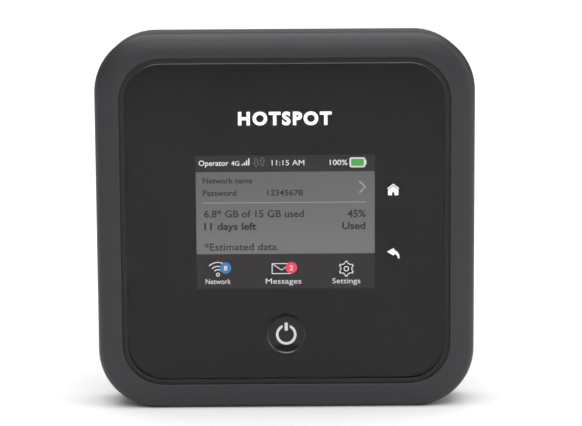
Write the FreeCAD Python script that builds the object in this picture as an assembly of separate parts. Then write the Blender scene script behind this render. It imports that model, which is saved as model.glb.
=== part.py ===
import FreeCAD, Part
import math
import os

# Battery-powered mobile hotspot: a square puck that stands on its lower edge.
#
# Frame: +Z up, X to the right and -Y towards the person reading the display. The origin is the centre
# of the footprint, on the surface that the hotspot stands on. Millimetres throughout.
#
# The puck is a sandwich. From the front: a clear cover lens with a printed mask, the display, a metal
# chassis plate, the circuit board, a heat spreader, a moulded tray with the battery bay, the battery and
# a clip-on battery door. A sloped bezel frames the lens and laps into the middle frame, which is the side
# wall. The lower edge holds an Ethernet jack and a USB-C receptacle behind a port plate, and two antenna
# jacks behind hinged caps.

V = FreeCAD.Vector

# ---------------------------------------------------------------- overall sizes
BODY_WIDTH = 105.0
BODY_HEIGHT = 105.0
CORNER_RADIUS = 16.5
WALL = 1.8
OVER = 1.0                 # how far a cutting shape runs past the face that it cuts
CLOSE = 1e-3               # places nearer to each other than this count as the same
PARALLEL = 0.9             # an edge whose direction has this much of an axis lies along it

# ---------------------------------------------------------------- thicknesses, from front to back
LENS_THICKNESS = 1.1
SMALL_GAP = 0.05           # least clearance between neighbouring pieces
PRINT_THICKNESS = 0.1
DISPLAY_AIR_GAP = 0.1
DISPLAY_GLASS = 0.9
BACKLIGHT_DEPTH = 1.3
CHASSIS_GAP = 0.15
CHASSIS_THICKNESS = 0.8
FRONT_CAN_HEIGHT = 1.5
CAN_CLEARANCE = 0.2
BOARD_THICKNESS = 1.0
REAR_CAN_HEIGHT = 1.6
PAD_THICKNESS = 0.4
SPREADER_THICKNESS = 0.5
SPREADER_GAP = 0.05
BAY_FLOOR = 1.2
BATTERY_FLOOR_GAP = 0.2
BATTERY_THICKNESS = 8.2
DOOR_PAD_SPACE = 0.65
DOOR_THICKNESS = 1.5

# ---------------------------------------------------------------- bezel and lens
CREST_INSET = 7.0          # outer edge to the bezel's inner rim
CREST_SETBACK = 0.3        # the lens stands this far proud of the bezel's rim
CREST_RADIUS = 11.5
BAND_DROP = 1.0            # fall of the bezel's face, from its rim to the edge rounding
EDGE_INSET = 1.8           # width of the edge rounding
LENS_GROOVE = 1.25
LENS_RADIUS = 10.2
LENS_EDGE = 0.35
SHELF_WIDTH = 2.5
SHELF_THICKNESS = 1.3
SHELF_RADIUS = 7.5
TAPE_THICKNESS = 0.25
TAPE_MARGIN = 0.3
RIM_ROUND = 0.3
PRINT_MARGIN = 0.15
SEAM_BEHIND_CHASSIS = 0.9
SEAM_REVEAL = 0.2
LAP_HEIGHT = 0.9
LAP_FIT = 0.05

# ---------------------------------------------------------------- display, keys and power button
BUTTON_ABOVE_LENS_EDGE = 12.95
DISPLAY_ABOVE_BUTTON = 31.4
DISPLAY_WIDTH = 49.4
DISPLAY_HEIGHT = 37.3
WINDOW_MARGIN = 0.2
MODULE_LEFT = 7.8          # module edge beyond the lit area, on the driver side
MODULE_RIGHT = 2.1
MODULE_TOP_BOTTOM = 3.0
TRAY_RIM = 0.6
TRAY_GRIP = 0.4            # how far the tray laps the glass
FLEX_WIDTH = 12.0
FLEX_SHEET = 0.15
FLEX_BEND = 0.8
FLEX_TAIL = 5.0
FLEX_PASS_FIT = 0.5
CONNECTOR_HEIGHT = 0.6
CONNECTOR_LENGTH = 3.0
CONNECTOR_OVERLAP = 1.5
CONNECTOR_MARGIN = 1.0
GASKET_WIDTH = 1.2
KEY_X = 29.8
KEY_ABOVE_DISPLAY = 8.9
KEY_BELOW_DISPLAY = 8.9
# outlines of the key signs, as (x, z) from the middle of the key
HOME_ROOF = [(-1.68, 0.30), (0, 1.62), (1.68, 0.30), (1.50, 0.06), (0, 1.24), (-1.50, 0.06)]
HOME_BODY = [(-1.42, -1.6), (-0.34, -1.6), (-0.34, -0.72), (0.34, -0.72), (0.34, -1.6), (1.42, -1.6),
             (1.42, -0.14), (0, 0.96), (-1.42, -0.14)]
ARROW_HEAD = [(0.2, -0.73), (-1.70, 0.42), (0.2, 1.46), (0.2, 0.92)]
ARROW_OUTER_BEND = [(1.32, 0.1), (1.72, -1.5)]      # via and end of the tail's outer arc
ARROW_TAIL_END = (1.28, -1.5)
ARROW_INNER_BEND = [(0.98, -0.6), (0.2, -0.2)]      # via and end of the tail's inner arc
KEY_GUIDE = 4.4
KEY_GUIDE_DEPTH = 0.7
KEY_GUIDE_RADIUS = 0.6
KEY_LED = 1.6
KEY_LED_DEPTH = 0.6
BUTTON_RADIUS = 4.95
BUTTON_FIT = 0.15
BUTTON_RECESS = 0.25
BUTTON_DISH = 0.4
BUTTON_TRAVEL = 0.35
FLANGE_OVERLAP = 1.1
FLANGE_THICKNESS = 0.8
PLUNGER_RADIUS = 1.1
PLUNGER_CLEARANCE = 0.5
ICON_DEPTH = 0.4            # how far the light pipe reaches behind the lens
HOLE_CHAMFER = 0.25
ICON_RADIUS = 2.87
ICON_STROKE = 0.72
ICON_DROP = 0.15           # how far the ring's centre sits below the button's
ICON_GAP = 1.0             # half width of the gap at the top of the ring
ICON_BAR_HALF = 0.45
ICON_BAR_LOW = 0.95
ICON_BAR_HIGH = 3.25
SWITCH_SIDE = 3.6
SWITCH_HEIGHT = 1.1
SWITCH_STEM_RADIUS = 0.8
SWITCH_STEM_FIT = 0.06
SWITCH_STEM_PROUD = 0.4
SWITCH_FLOOR = 0.2

# ---------------------------------------------------------------- battery, bay and door
BATTERY_WIDTH = 70.0
BATTERY_HEIGHT = 60.0
BATTERY_RADIUS = 2.5
BATTERY_FIT = 0.4
BAY_WALL = 1.2
BAY_ABOVE_JACK = 1.5
LABEL_THICKNESS = 0.1
LABEL_MARGIN = 4.0
DECK_THICKNESS = 1.0
DECK_CLEARANCE = 0.25
LEDGE_WIDTH = 1.2
LEDGE_THICKNESS = 1.0
LEDGE_FIT = 0.1
DOOR_SKIRT = 1.6
DOOR_FIT = 0.15
DOOR_LAP = 1.25
DOOR_REVEAL = 0.15
DOOR_ROUND = 4.0
DOOR_LAND = 1.0             # least flat side between the door's seam and its rounding
DOOR_PAD_GAP = 0.1
DOOR_PAD_MARGIN = 9.0
TAB_LENGTH = 6.0
TAB_THICKNESS = 1.0
TAB_INSET = 5.0
TAB_FIT = 0.2
TAB_ROUND = 0.2
TAB_FROM_CORNER = 12.0
NOTCH_LENGTH = 13.0
NOTCH_WIDTH = 2.6
NOTCH_DEPTH = 0.9
NOTCH_LAP = 0.6             # how far the scoop reaches past the door's seam
TAB_ROOT = 0.5
TERMINAL_COUNT = 5
TERMINAL_PITCH = 2.6
TERMINAL_WIDTH = 1.3
TERMINAL_BLOCK_DEPTH = 3.0
TERMINAL_LEAF = 0.2
TERMINAL_GAP = 0.12
TERMINAL_ABOVE_BAY = 14.0
TERMINAL_BLOCK_GAP = 0.1
TERMINAL_POCKET = 1.6
TERMINAL_SETBACK = 1.4      # springs behind the battery's front face
TERMINAL_ARM = 1.6
TERMINAL_NOSE = 1.2
TERMINAL_COVER = 1.2
TERMINAL_SLOT_MARGIN = 0.5
CONTACT_PLATE = 0.2
CONTACT_EDGE = 0.2
BATTERY_ROUND = 0.6
SIM_WIDTH = 14.2
SIM_LENGTH = 13.0
SIM_HEIGHT = 1.35
SIM_X = 20.0
SIM_ABOVE_BAY = 13.0
SIM_WINDOW_MARGIN = 1.2
SIM_RADIUS = 0.4
SIM_CARD_WIDTH = 9.2
SIM_FLOOR = 0.3
SIM_STOP = 1.0
SIM_THUMB_RADIUS = 3.0
WINDOW_RADIUS = 1.0
LABEL_RADIUS = 1.5
BAY_LABEL_SIDE = 8.0
BAY_LABEL_LOW = 4.0
BAY_LABEL_HIGH = 5.0
DOOR_PAD_RADIUS = 3.0

# ---------------------------------------------------------------- ports in the lower edge
ETHERNET_X = -6.0
JACK_WIDTH = 14.6
JACK_HEIGHT = 11.0
JACK_DEPTH = 12.6
JACK_SKIN = 0.25
JACK_CLEARANCE = 0.75
EAR_REACH = 1.6
EAR_LENGTH = 2.4
EAR_FROM_BACK = 1.5
PLUG_WIDTH = 12.0
PLUG_HEIGHT = 6.9
LATCH_WIDTH = 6.4
LATCH_HEIGHT = 1.7
CAVITY_DEPTH = 11.2
ETHERNET_CONTACTS = 8
CONTACT_PITCH = 1.02
CONTACT_WIDTH = 0.4
CONTACT_LIFT = 1.5
CONTACT_SHEET = 0.25
CONTACT_START = 2.0
PORT_FIT = 0.1
PLATE_SIDE = 1.2            # port plate beyond the jacks, left and right
PLATE_BACK = 1.0            # port plate beyond the Ethernet opening, front and back
PLATE_RECESS = 0.2
USB_X = 7.0
USB_WIDTH = 8.94
USB_HEIGHT = 3.26
USB_DEPTH = 7.4
USB_SKIN = 0.3
USB_RECESS = 0.4
USB_TONGUE_WIDTH = 6.7
USB_TONGUE_THICKNESS = 0.7
USB_TONGUE_RECESS = 0.9
USB_STOP = 1.4
USB_FOOT_SETBACK = 0.5
USB_CONTACTS = 12
USB_PITCH = 0.5
USB_CONTACT_WIDTH = 0.26
USB_CONTACT_SHEET = 0.05
USB_CONTACT_SETBACK = 0.4
CAP_LENGTH = 11.0
CAP_WIDTH = 6.6
CAP_THICKNESS = 1.2
CAP_RADIUS = 1.0
CAP_RECESS = 0.15
CAP_FIT = 0.15
CAP_FROM_CORNER = 1.5
CAP_PIN_RADIUS = 0.35
CAP_PIN_LENGTH = 0.7
CAP_PIN_FIT = 0.05
CAP_SEAT = 1.6             # solid material kept above the cap's pocket
SEAT_WALL = 1.0
CAP_GRIP_RADIUS = 1.4
CAP_GRIP_DEPTH = 0.8
ANTENNA_JACK_RADIUS = 2.6
ANTENNA_JACK_BORE = 1.9
ANTENNA_JACK_DEPTH = 7.0
ANTENNA_CORE_RADIUS = 1.1
ANTENNA_PIN_RADIUS = 0.4
ANTENNA_BASE = 1.0           # closed end of the sleeve
ANTENNA_BEAD = 2.0
ANTENNA_CORE_RECESS = 1.2
ANTENNA_PIN_RECESS = 1.4

# ---------------------------------------------------------------- board, fasteners and antennas
CHASSIS_MARGIN = 0.4
BOARD_MARGIN = 1.6
BOARD_CUT_FIT = 0.3
SCREW_INSET = 9.0
TOP_SCREW_INSET = 5.0
BOSS_RADIUS = 2.6
SCREW_SHANK = 0.75
SCREW_HOLE = 0.95
SCREW_HEAD = 1.5
SCREW_HEAD_HEIGHT = 0.9
COUNTERBORE = 1.75
SCREW_WEB = 1.7
INSERT_RADIUS = 1.4
INSERT_LENGTH = 2.0
INSERT_BORE = 0.76
SCREW_END_GAP = 0.3         # from the screw's end to the bottom of the insert
SOCKET_RADIUS = 0.7
SOCKET_DEPTH = 0.5
HEAD_ROOT = 0.1             # how far a shank runs into its head
BOARD_SCREW_HEAD = 1.2
BOARD_SCREW_SHANK = 0.55
BOARD_SCREW_TAP = 0.57
BOARD_SCREW_HOLE = 0.7
BOARD_SCREW_HEAD_HEIGHT = 0.6
CAN_SHEET = 0.2
CAN_RADIUS = 0.6
PAD_MARGIN = 2.0
MODEM_CAN_SIZE = (26.0, 22.0)   # width and height of each shielding can
MEMORY_CAN_SIZE = (24.0, 22.0)
RADIO_CAN_SIZE = (26.0, 22.0)
POWER_CAN_SIZE = (28.0, 22.0)
MODEM_CAN_X = -12.5
MEMORY_CAN_X = 15.5
RADIO_CAN_X = -18.0
POWER_CAN_X = 14.0
FRONT_CANS_ABOVE_DISPLAY = 8.0
REAR_CANS_ABOVE_BAY = 43.0
MODEM_CHIP = (13.0, 1.0)     # side and height of each chip
MEMORY_CHIP = (10.0, 0.9)
RADIO_CHIP = (9.0, 0.9)
POWER_CHIP = (7.0, 0.8)
BOARD_SCREW_INSET = 6.0     # in from the bay's side walls
BOARD_SCREW_RISE = 4.0      # in from the bay's lower and upper walls
SPACER_RADIUS = 1.4
CARRIER_THICKNESS = 1.4
CARRIER_DEPTH = 4.4        # how far the upper carriers reach down from the top wall
FOIL = 0.1
FOIL_MARGIN = 1.0
FOIL_BAR = 1.5
FOIL_ARM = 2.0
FOIL_FEED = 6.0             # upper arm's distance below the bar's end
CARRIER_FRONT_GAP = 0.4
CARRIER_BACK_GAP = 0.1
CARRIER_END_GAP = 4.0
CARRIER_RIM = 1.2

# ---------------------------------------------------------------- levels along Y, worked out
DISPLAY_DEPTH = DISPLAY_GLASS + BACKLIGHT_DEPTH
STACK = (
    LENS_THICKNESS, SMALL_GAP, PRINT_THICKNESS, DISPLAY_AIR_GAP, DISPLAY_DEPTH, CHASSIS_GAP,
    CHASSIS_THICKNESS, CAN_CLEARANCE, FRONT_CAN_HEIGHT, BOARD_THICKNESS, REAR_CAN_HEIGHT,
    PAD_THICKNESS, SPREADER_THICKNESS, SPREADER_GAP, BAY_FLOOR, BATTERY_FLOOR_GAP,
    BATTERY_THICKNESS, DOOR_PAD_SPACE, DOOR_THICKNESS,
)
BODY_DEPTH = sum(STACK)
FRONT = -BODY_DEPTH / 2
BACK = BODY_DEPTH / 2
LENS_BACK = FRONT + LENS_THICKNESS
PRINT_FRONT = LENS_BACK + SMALL_GAP
PRINT_BACK = PRINT_FRONT + PRINT_THICKNESS
DISPLAY_FRONT = PRINT_BACK + DISPLAY_AIR_GAP
DISPLAY_BACK = DISPLAY_FRONT + DISPLAY_DEPTH
CHASSIS_FRONT = DISPLAY_BACK + CHASSIS_GAP
CHASSIS_BACK = CHASSIS_FRONT + CHASSIS_THICKNESS
BOARD_FRONT = CHASSIS_BACK + CAN_CLEARANCE + FRONT_CAN_HEIGHT
BOARD_BACK = BOARD_FRONT + BOARD_THICKNESS
PAD_FRONT = BOARD_BACK + REAR_CAN_HEIGHT
SPREADER_FRONT = PAD_FRONT + PAD_THICKNESS
SPREADER_BACK = SPREADER_FRONT + SPREADER_THICKNESS
FLOOR_FRONT = SPREADER_BACK + SPREADER_GAP
FLOOR_BACK = FLOOR_FRONT + BAY_FLOOR
BATTERY_FRONT = FLOOR_BACK + BATTERY_FLOOR_GAP
BATTERY_BACK = BATTERY_FRONT + BATTERY_THICKNESS
DOOR_INNER = BACK - DOOR_THICKNESS
CREST = FRONT + CREST_SETBACK
SHELF_FRONT = PRINT_BACK + TAPE_THICKNESS
SHELF_BACK = SHELF_FRONT + SHELF_THICKNESS
SEAM = CHASSIS_BACK + SEAM_BEHIND_CHASSIS
JACK_FRONT = CHASSIS_BACK + JACK_CLEARANCE
JACK_BACK = JACK_FRONT + JACK_HEIGHT
DECK_FRONT = JACK_BACK + DECK_CLEARANCE
DECK_BACK = DECK_FRONT + DECK_THICKNESS
DOOR_SEAM = DECK_BACK - DOOR_LAP
DOOR_EDGE_ROUND = min(DOOR_ROUND, BACK - DOOR_SEAM - DOOR_REVEAL - DOOR_LAND)
PORT_Y = (SEAM + DOOR_SEAM) / 2
PLUG_FRONT = PORT_Y - (PLUG_HEIGHT + LATCH_HEIGHT) / 2
FLANGE_FRONT = PRINT_BACK + SMALL_GAP
FLANGE_BACK = FLANGE_FRONT + FLANGE_THICKNESS
ICON_BACK = LENS_BACK + ICON_DEPTH
SWITCH_FRONT = BOARD_FRONT - SWITCH_HEIGHT
SWITCH_WELL = BOARD_FRONT - SWITCH_FLOOR
SCREW_SEAT = BOARD_BACK + SMALL_GAP + SCREW_WEB
CARRIER_FRONT = BOARD_BACK + CARRIER_FRONT_GAP
LEDGE_FRONT = DECK_FRONT - LEDGE_THICKNESS
CARRIER_BACK = LEDGE_FRONT - CARRIER_BACK_GAP
TOP_CARRIER_START = BOSS_RADIUS + CARRIER_END_GAP / 2

# ---------------------------------------------------------------- places across the face, worked out
MIDDLE = BODY_HEIGHT / 2
LENS_INSET = CREST_INSET + LENS_GROOVE
LENS_WIDTH = BODY_WIDTH - 2 * LENS_INSET
LENS_HEIGHT = BODY_HEIGHT - 2 * LENS_INSET
BUTTON_Z = LENS_INSET + BUTTON_ABOVE_LENS_EDGE
DISPLAY_Z = BUTTON_Z + DISPLAY_ABOVE_BUTTON
MODULE_EDGE = -DISPLAY_WIDTH / 2 - MODULE_LEFT
FLEX_X = MODULE_EDGE - FLEX_BEND
FLEX_LOW = DISPLAY_Z - FLEX_WIDTH / 2
FLEX_HIGH = DISPLAY_Z + FLEX_WIDTH / 2
HOME_Z = DISPLAY_Z + KEY_ABOVE_DISPLAY
RETURN_Z = DISPLAY_Z - KEY_BELOW_DISPLAY
JACK_LOW = WALL + PORT_FIT
JACK_TOP = JACK_LOW + JACK_DEPTH
BAY_LOW = JACK_TOP + BAY_ABOVE_JACK + BAY_WALL
BAY_HIGH = BAY_LOW + BATTERY_HEIGHT + 2 * BATTERY_FIT
BAY_HALF = BATTERY_WIDTH / 2 + BATTERY_FIT
BATTERY_LOW = BAY_LOW + BATTERY_FIT
CAP_X = BODY_WIDTH / 2 - CORNER_RADIUS - CAP_FROM_CORNER - CAP_LENGTH / 2
CAP_AXIS_Z = CAP_RECESS + CAP_THICKNESS / 2
CAP_AXIS_X = CAP_X + CAP_LENGTH / 2 - CAP_THICKNESS / 2
POCKET_TOP = CAP_RECESS + CAP_THICKNESS + CAP_FIT
TERMINAL_Z = BAY_LOW + TERMINAL_ABOVE_BAY
SIM_Z = BAY_LOW + SIM_ABOVE_BAY
SIDE_SCREW_X = BODY_WIDTH / 2 - SCREW_INSET
SCREW_PLACES = [(sx * SIDE_SCREW_X, z) for sx in (-1, 1)
                for z in (SCREW_INSET, BODY_HEIGHT - SCREW_INSET)]
SCREW_PLACES.append((0, BODY_HEIGHT - TOP_SCREW_INSET))
BOARD_SCREW_PLACES = [(sx * (BAY_HALF - BOARD_SCREW_INSET), z) for sx in (-1, 1)
                      for z in (BAY_LOW + BOARD_SCREW_RISE, BAY_HIGH - BOARD_SCREW_RISE)]
MODEM_CAN = (MODEM_CAN_X, DISPLAY_Z + FRONT_CANS_ABOVE_DISPLAY, *MODEM_CAN_SIZE)
MEMORY_CAN = (MEMORY_CAN_X, DISPLAY_Z + FRONT_CANS_ABOVE_DISPLAY, *MEMORY_CAN_SIZE)
RADIO_CAN = (RADIO_CAN_X, BAY_LOW + REAR_CANS_ABOVE_BAY, *RADIO_CAN_SIZE)
POWER_CAN = (POWER_CAN_X, BAY_LOW + REAR_CANS_ABOVE_BAY, *POWER_CAN_SIZE)
TERMINAL_FACE = -BAY_HALF - BAY_WALL - TERMINAL_BLOCK_GAP
TERMINAL_BACK = TERMINAL_FACE - TERMINAL_POCKET
TERMINAL_REACH = TERMINAL_COUNT * TERMINAL_PITCH / 2
TERMINAL_TIP = -BATTERY_WIDTH / 2 - TERMINAL_GAP
SPRING_FRONT = BATTERY_FRONT + TERMINAL_SETBACK


# ---------------------------------------------------------------- shapes that several pieces share
def box(x0, x1, y0, y1, z0, z1):
    """A block between two corners."""
    return Part.makeBox(x1 - x0, y1 - y0, z1 - z0, V(x0, y0, z0))


def rod(x, z, radius, y0, y1):
    """A cylinder along Y."""
    return Part.makeCylinder(radius, y1 - y0, V(x, y0, z), V(0, 1, 0))


def post(x, y, radius, z0, z1):
    """A cylinder along Z."""
    return Part.makeCylinder(radius, z1 - z0, V(x, y, z0), V(0, 0, 1))


def panel(points, y0, y1):
    """A plate along Y from a closed list of (x, z) points; ("arc", via, end) bends a side."""
    edges = []
    here = points[0]
    for step in points[1:] + points[:1]:
        if step[0] == "arc":
            via, end = step[1], step[2]
            arc = Part.Arc(V(here[0], y0, here[1]), V(via[0], y0, via[1]), V(end[0], y0, end[1]))
            edges.append(arc.toShape())
            here = end
        else:
            edges.append(Part.makeLine(V(here[0], y0, here[1]), V(step[0], y0, step[1])))
            here = step
    return Part.Face(Part.Wire(edges)).extrude(V(0, y1 - y0, 0))


def slab(width, height, radius, y0, y1, x=0.0, z=MIDDLE):
    """A plate along Y with a rounded-rectangle outline about (x, z)."""
    block = box(x - width / 2, x + width / 2, y0, y1, z - height / 2, z + height / 2)
    upright = [e for e in block.Edges if abs(e.tangentAt(e.FirstParameter).y) > PARALLEL]
    return block.makeFillet(radius, upright)


def inset_slab(inset, radius, y0, y1):
    """A plate whose outline keeps the given distance inside the body's outline."""
    return slab(BODY_WIDTH - 2 * inset, BODY_HEIGHT - 2 * inset, radius, y0, y1)


def pillow(skin, closing):
    """A cap over the whole outline.

    skin runs outwards from the flat middle as (inset, y) steps; closing is the level of its open side.
    """
    flat = skin[0][1]
    reach = CORNER_RADIUS
    half_x, half_z = BODY_WIDTH / 2 - reach, BODY_HEIGHT / 2 - reach
    centres = [(half_x, MIDDLE + half_z), (-half_x, MIDDLE + half_z),
               (-half_x, MIDDLE - half_z), (half_x, MIDDLE - half_z)]

    def section(centre, angle):
        def at(point):
            out = reach - point[0]
            return V(centre[0] + out * math.cos(angle), point[1], centre[1] + out * math.sin(angle))
        edges = [Part.makeLine(at((reach, flat)), at(skin[0]))]
        here = skin[0]
        for step in skin[1:]:
            if step[0] == "arc":
                edges.append(Part.Arc(at(here), at(step[1]), at(step[2])).toShape())
                here = step[2]
            else:
                edges.append(Part.makeLine(at(here), at(step)))
                here = step
        edges.append(Part.makeLine(at(here), at((0, closing))))
        edges.append(Part.makeLine(at((0, closing)), at((reach, closing))))
        edges.append(Part.makeLine(at((reach, closing)), at((reach, flat))))
        return Part.Face(Part.Wire(edges))

    pieces = [box(-half_x, half_x, min(flat, closing), max(flat, closing), MIDDLE - half_z,
                  MIDDLE + half_z)]
    for k, centre in enumerate(centres):
        start, end = math.radians(90 * k), math.radians(90 * (k + 1))
        following = centres[(k + 1) % 4]
        pieces.append(section(centre, start).revolve(V(centre[0], 0, centre[1]), V(0, -1, 0), 90))
        run = V(following[0] - centre[0], 0, following[1] - centre[1])
        pieces.append(section(centre, end).extrude(run))
    return pieces[0].multiFuse(pieces[1:]).removeSplitter()


def edges_at(shape, y, inside=None):
    """The edges of shape in the plane at y; inside = (x, z, reach) keeps those round that place."""
    found = [e for e in shape.Edges if all(abs(v.Point.y - y) < CLOSE for v in e.Vertexes)
             and abs(e.CenterOfMass.y - y) < CLOSE]
    if inside:
        x, z, reach = inside
        found = [e for e in found if math.hypot(e.CenterOfMass.x - x, e.CenterOfMass.z - z) < reach]
    return found


def mirrored(shape):
    """The same shape on the other side of the body's middle plane."""
    return shape.mirror(V(0, 0, 0), V(1, 0, 0))


# ---------------------------------------------------------------- outer shell
def front_bezel():
    """Moulded frame round the lens: a convex band, a rebated skirt, a shelf and the screw bosses."""
    run = CREST_INSET - EDGE_INSET
    band_radius = (run ** 2 + BAND_DROP ** 2) / (2 * BAND_DROP)
    slope = math.asin(run / band_radius)
    edge_radius = EDGE_INSET / (1 - math.sin(slope))
    side = CREST + BAND_DROP + edge_radius * math.cos(slope)

    def on_band(angle):
        return (CREST_INSET - band_radius * math.sin(angle), CREST + band_radius * (1 - math.cos(angle)))

    def on_edge(angle):
        return (edge_radius * (1 - math.sin(angle)), side - edge_radius * math.cos(angle))

    skin = [(CREST_INSET, CREST), ("arc", on_band(slope / 2), on_band(slope)),
            ("arc", on_edge((slope + math.pi / 2) / 2), (0, side))]
    shape = pillow(skin, SEAM)
    bosses = [rod(x, z, BOSS_RADIUS, SHELF_FRONT, CHASSIS_FRONT) for x, z in SCREW_PLACES]
    hollow = inset_slab(WALL, CORNER_RADIUS - WALL, SHELF_BACK, SEAM + OVER).cut(bosses)
    shape = shape.cut(hollow)
    shape = shape.cut(inset_slab(CREST_INSET, CREST_RADIUS, FRONT - OVER, SHELF_FRONT))
    shape = shape.makeFillet(RIM_ROUND, [e for e in edges_at(shape, CREST) if edge_on_rim(e)])
    shape = shape.cut(inset_slab(LENS_INSET + SHELF_WIDTH, SHELF_RADIUS, FRONT, SEAM))
    lap = inset_slab(WALL / 2, CORNER_RADIUS - WALL / 2, SEAM - LAP_HEIGHT - LAP_FIT, SEAM + OVER)
    shape = shape.cut(lap.cut(bosses))
    return shape.cut([rod(x, z, INSERT_RADIUS, CHASSIS_FRONT - INSERT_LENGTH, SEAM)
                      for x, z in SCREW_PLACES])


def edge_on_rim(edge):
    """True for an edge of the bezel's inner rim, which is nearer the middle than the band's own edges."""
    point = edge.CenterOfMass
    reach_x = BODY_WIDTH / 2 - CREST_INSET
    reach_z = BODY_HEIGHT / 2 - CREST_INSET
    return abs(point.x) < reach_x + CLOSE and abs(point.z - MIDDLE) < reach_z + CLOSE


def middle_frame():
    """Moulded side wall: lap for the bezel, ledge for the deck, cap seats and the port opening."""
    shape = inset_slab(0, CORNER_RADIUS, SEAM + SEAM_REVEAL, DOOR_SEAM)
    lip_inset = WALL / 2 + LAP_FIT
    shape = shape.fuse(inset_slab(lip_inset, CORNER_RADIUS - lip_inset, SEAM - LAP_HEIGHT, SEAM + OVER))
    seat_half = CAP_LENGTH / 2 + CAP_FIT + SEAT_WALL
    seat_reach = CAP_WIDTH / 2 + CAP_PIN_LENGTH + CAP_FIT
    seats = [box(sx * CAP_X - seat_half, sx * CAP_X + seat_half, PORT_Y - seat_reach, PORT_Y + seat_reach,
                 0, POCKET_TOP + CAP_SEAT) for sx in (-1, 1)]
    hollow = inset_slab(WALL, CORNER_RADIUS - WALL, SEAM - LAP_HEIGHT - OVER, DOOR_SEAM + OVER)
    shape = shape.cut(hollow.cut(seats)).fuse(deck_ledge())
    cuts = [port_plate_block(-OVER, WALL + OVER, PORT_FIT), finger_notch()]
    for sx in (-1, 1):
        cuts += cap_pocket(sx)
        cuts.append(post(sx * CAP_X, PORT_Y, ANTENNA_JACK_RADIUS + PORT_FIT, 0,
                         POCKET_TOP + CAP_SEAT + OVER))
    return shape.cut(cuts)


def deck_ledge():
    """Ledge inside the wall for the tray's deck, clear of the Ethernet jack and the tubes."""
    inner = WALL + LEDGE_WIDTH
    ring = inset_slab(WALL, CORNER_RADIUS - WALL, LEDGE_FRONT, DECK_FRONT)
    ring = ring.cut(inset_slab(inner, CORNER_RADIUS - inner, LEDGE_FRONT - OVER, DECK_FRONT + OVER))
    reach = JACK_WIDTH / 2 + BOARD_CUT_FIT
    cuts = [box(ETHERNET_X - reach, ETHERNET_X + reach, LEDGE_FRONT - OVER, DECK_FRONT + OVER,
                0, inner + OVER)]
    cuts += [rod(x, z, BOSS_RADIUS + LEDGE_FIT, LEDGE_FRONT - OVER, DECK_FRONT + OVER)
             for x, z in SCREW_PLACES]
    return ring.cut(cuts)


def port_plate_block(z0, z1, fit=0.0):
    """The port plate's outline between two levels, optionally larger all round."""
    x0 = ETHERNET_X - JACK_WIDTH / 2 - PLATE_SIDE - fit
    x1 = USB_X + USB_WIDTH / 2 + PLATE_SIDE + fit
    reach = (PLUG_HEIGHT + LATCH_HEIGHT) / 2 + PLATE_BACK - PORT_FIT + fit
    return box(x0, x1, PORT_Y - reach, PORT_Y + reach, z0, z1)


def port_plate():
    """Plate in the lower wall, set back a little, with the openings of the Ethernet and USB-C jacks."""
    cuts = ethernet_aperture(-OVER, WALL + OVER)
    cuts.append(usb_column(USB_WIDTH + 2 * PORT_FIT, USB_HEIGHT + 2 * PORT_FIT, -OVER, WALL + OVER))
    return port_plate_block(PLATE_RECESS, WALL).cut(cuts)


def battery_tray():
    """Moulded deck inside the middle frame, with the battery bay and the tubes of the long screws."""
    inset = DOOR_SKIRT + DOOR_FIT
    shape = inset_slab(inset, CORNER_RADIUS - inset, DECK_FRONT, DECK_BACK)
    shape = shape.fuse(box(-BAY_HALF - BAY_WALL, BAY_HALF + BAY_WALL, FLOOR_FRONT, DECK_FRONT,
                           BAY_LOW - BAY_WALL, BAY_HIGH + BAY_WALL))
    shape = shape.fuse([rod(x, z, BOSS_RADIUS, BOARD_BACK + SMALL_GAP, DECK_FRONT)
                        for x, z in SCREW_PLACES])
    shape = shape.cut(slab(2 * BAY_HALF, BAY_HIGH - BAY_LOW, BATTERY_RADIUS, FLOOR_BACK, BACK,
                           z=(BAY_LOW + BAY_HIGH) / 2))
    cuts = [rod(x, z, COUNTERBORE, SCREW_SEAT, BACK) for x, z in SCREW_PLACES]
    cuts += [rod(x, z, SCREW_HOLE, SEAM, BACK) for x, z in SCREW_PLACES]
    cuts += [slab(*tab_size(flat, TAB_FIT), TAB_ROUND, DECK_FRONT - OVER, DECK_BACK + OVER, x, z)
             for x, z, flat in door_tab_places()]
    cuts.append(slab(SIM_WIDTH + 2 * SIM_WINDOW_MARGIN, SIM_LENGTH + 2 * SIM_WINDOW_MARGIN, WINDOW_RADIUS,
                     FLOOR_FRONT - OVER, FLOOR_BACK + OVER, SIM_X, SIM_Z))
    reach = TERMINAL_REACH + TERMINAL_SLOT_MARGIN
    cuts.append(box(-BAY_HALF - BAY_WALL - OVER, -BAY_HALF + OVER, SPRING_FRONT - TERMINAL_SLOT_MARGIN,
                    DECK_FRONT - TERMINAL_SLOT_MARGIN, TERMINAL_Z - reach, TERMINAL_Z + reach))
    return shape.cut(cuts)


def finger_notch():
    """Scoop in the side wall, under the door's edge, that a fingernail goes into."""
    z = CORNER_RADIUS + NOTCH_LENGTH / 2
    half = NOTCH_WIDTH / 2
    ends = [z - NOTCH_LENGTH / 2 + half, z + NOTCH_LENGTH / 2 - half]
    face = BODY_WIDTH / 2
    centre_y = DOOR_SEAM - half + NOTCH_LAP
    scoops = []
    for end in ends:
        start = V(face - NOTCH_DEPTH, centre_y, end)
        scoops.append(Part.makeCylinder(half, NOTCH_DEPTH + OVER, start, V(1, 0, 0)))
    middle = box(face - NOTCH_DEPTH, face + OVER, centre_y - half, centre_y + half, ends[0], ends[1])
    return scoops[0].fuse([scoops[1], middle])


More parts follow.
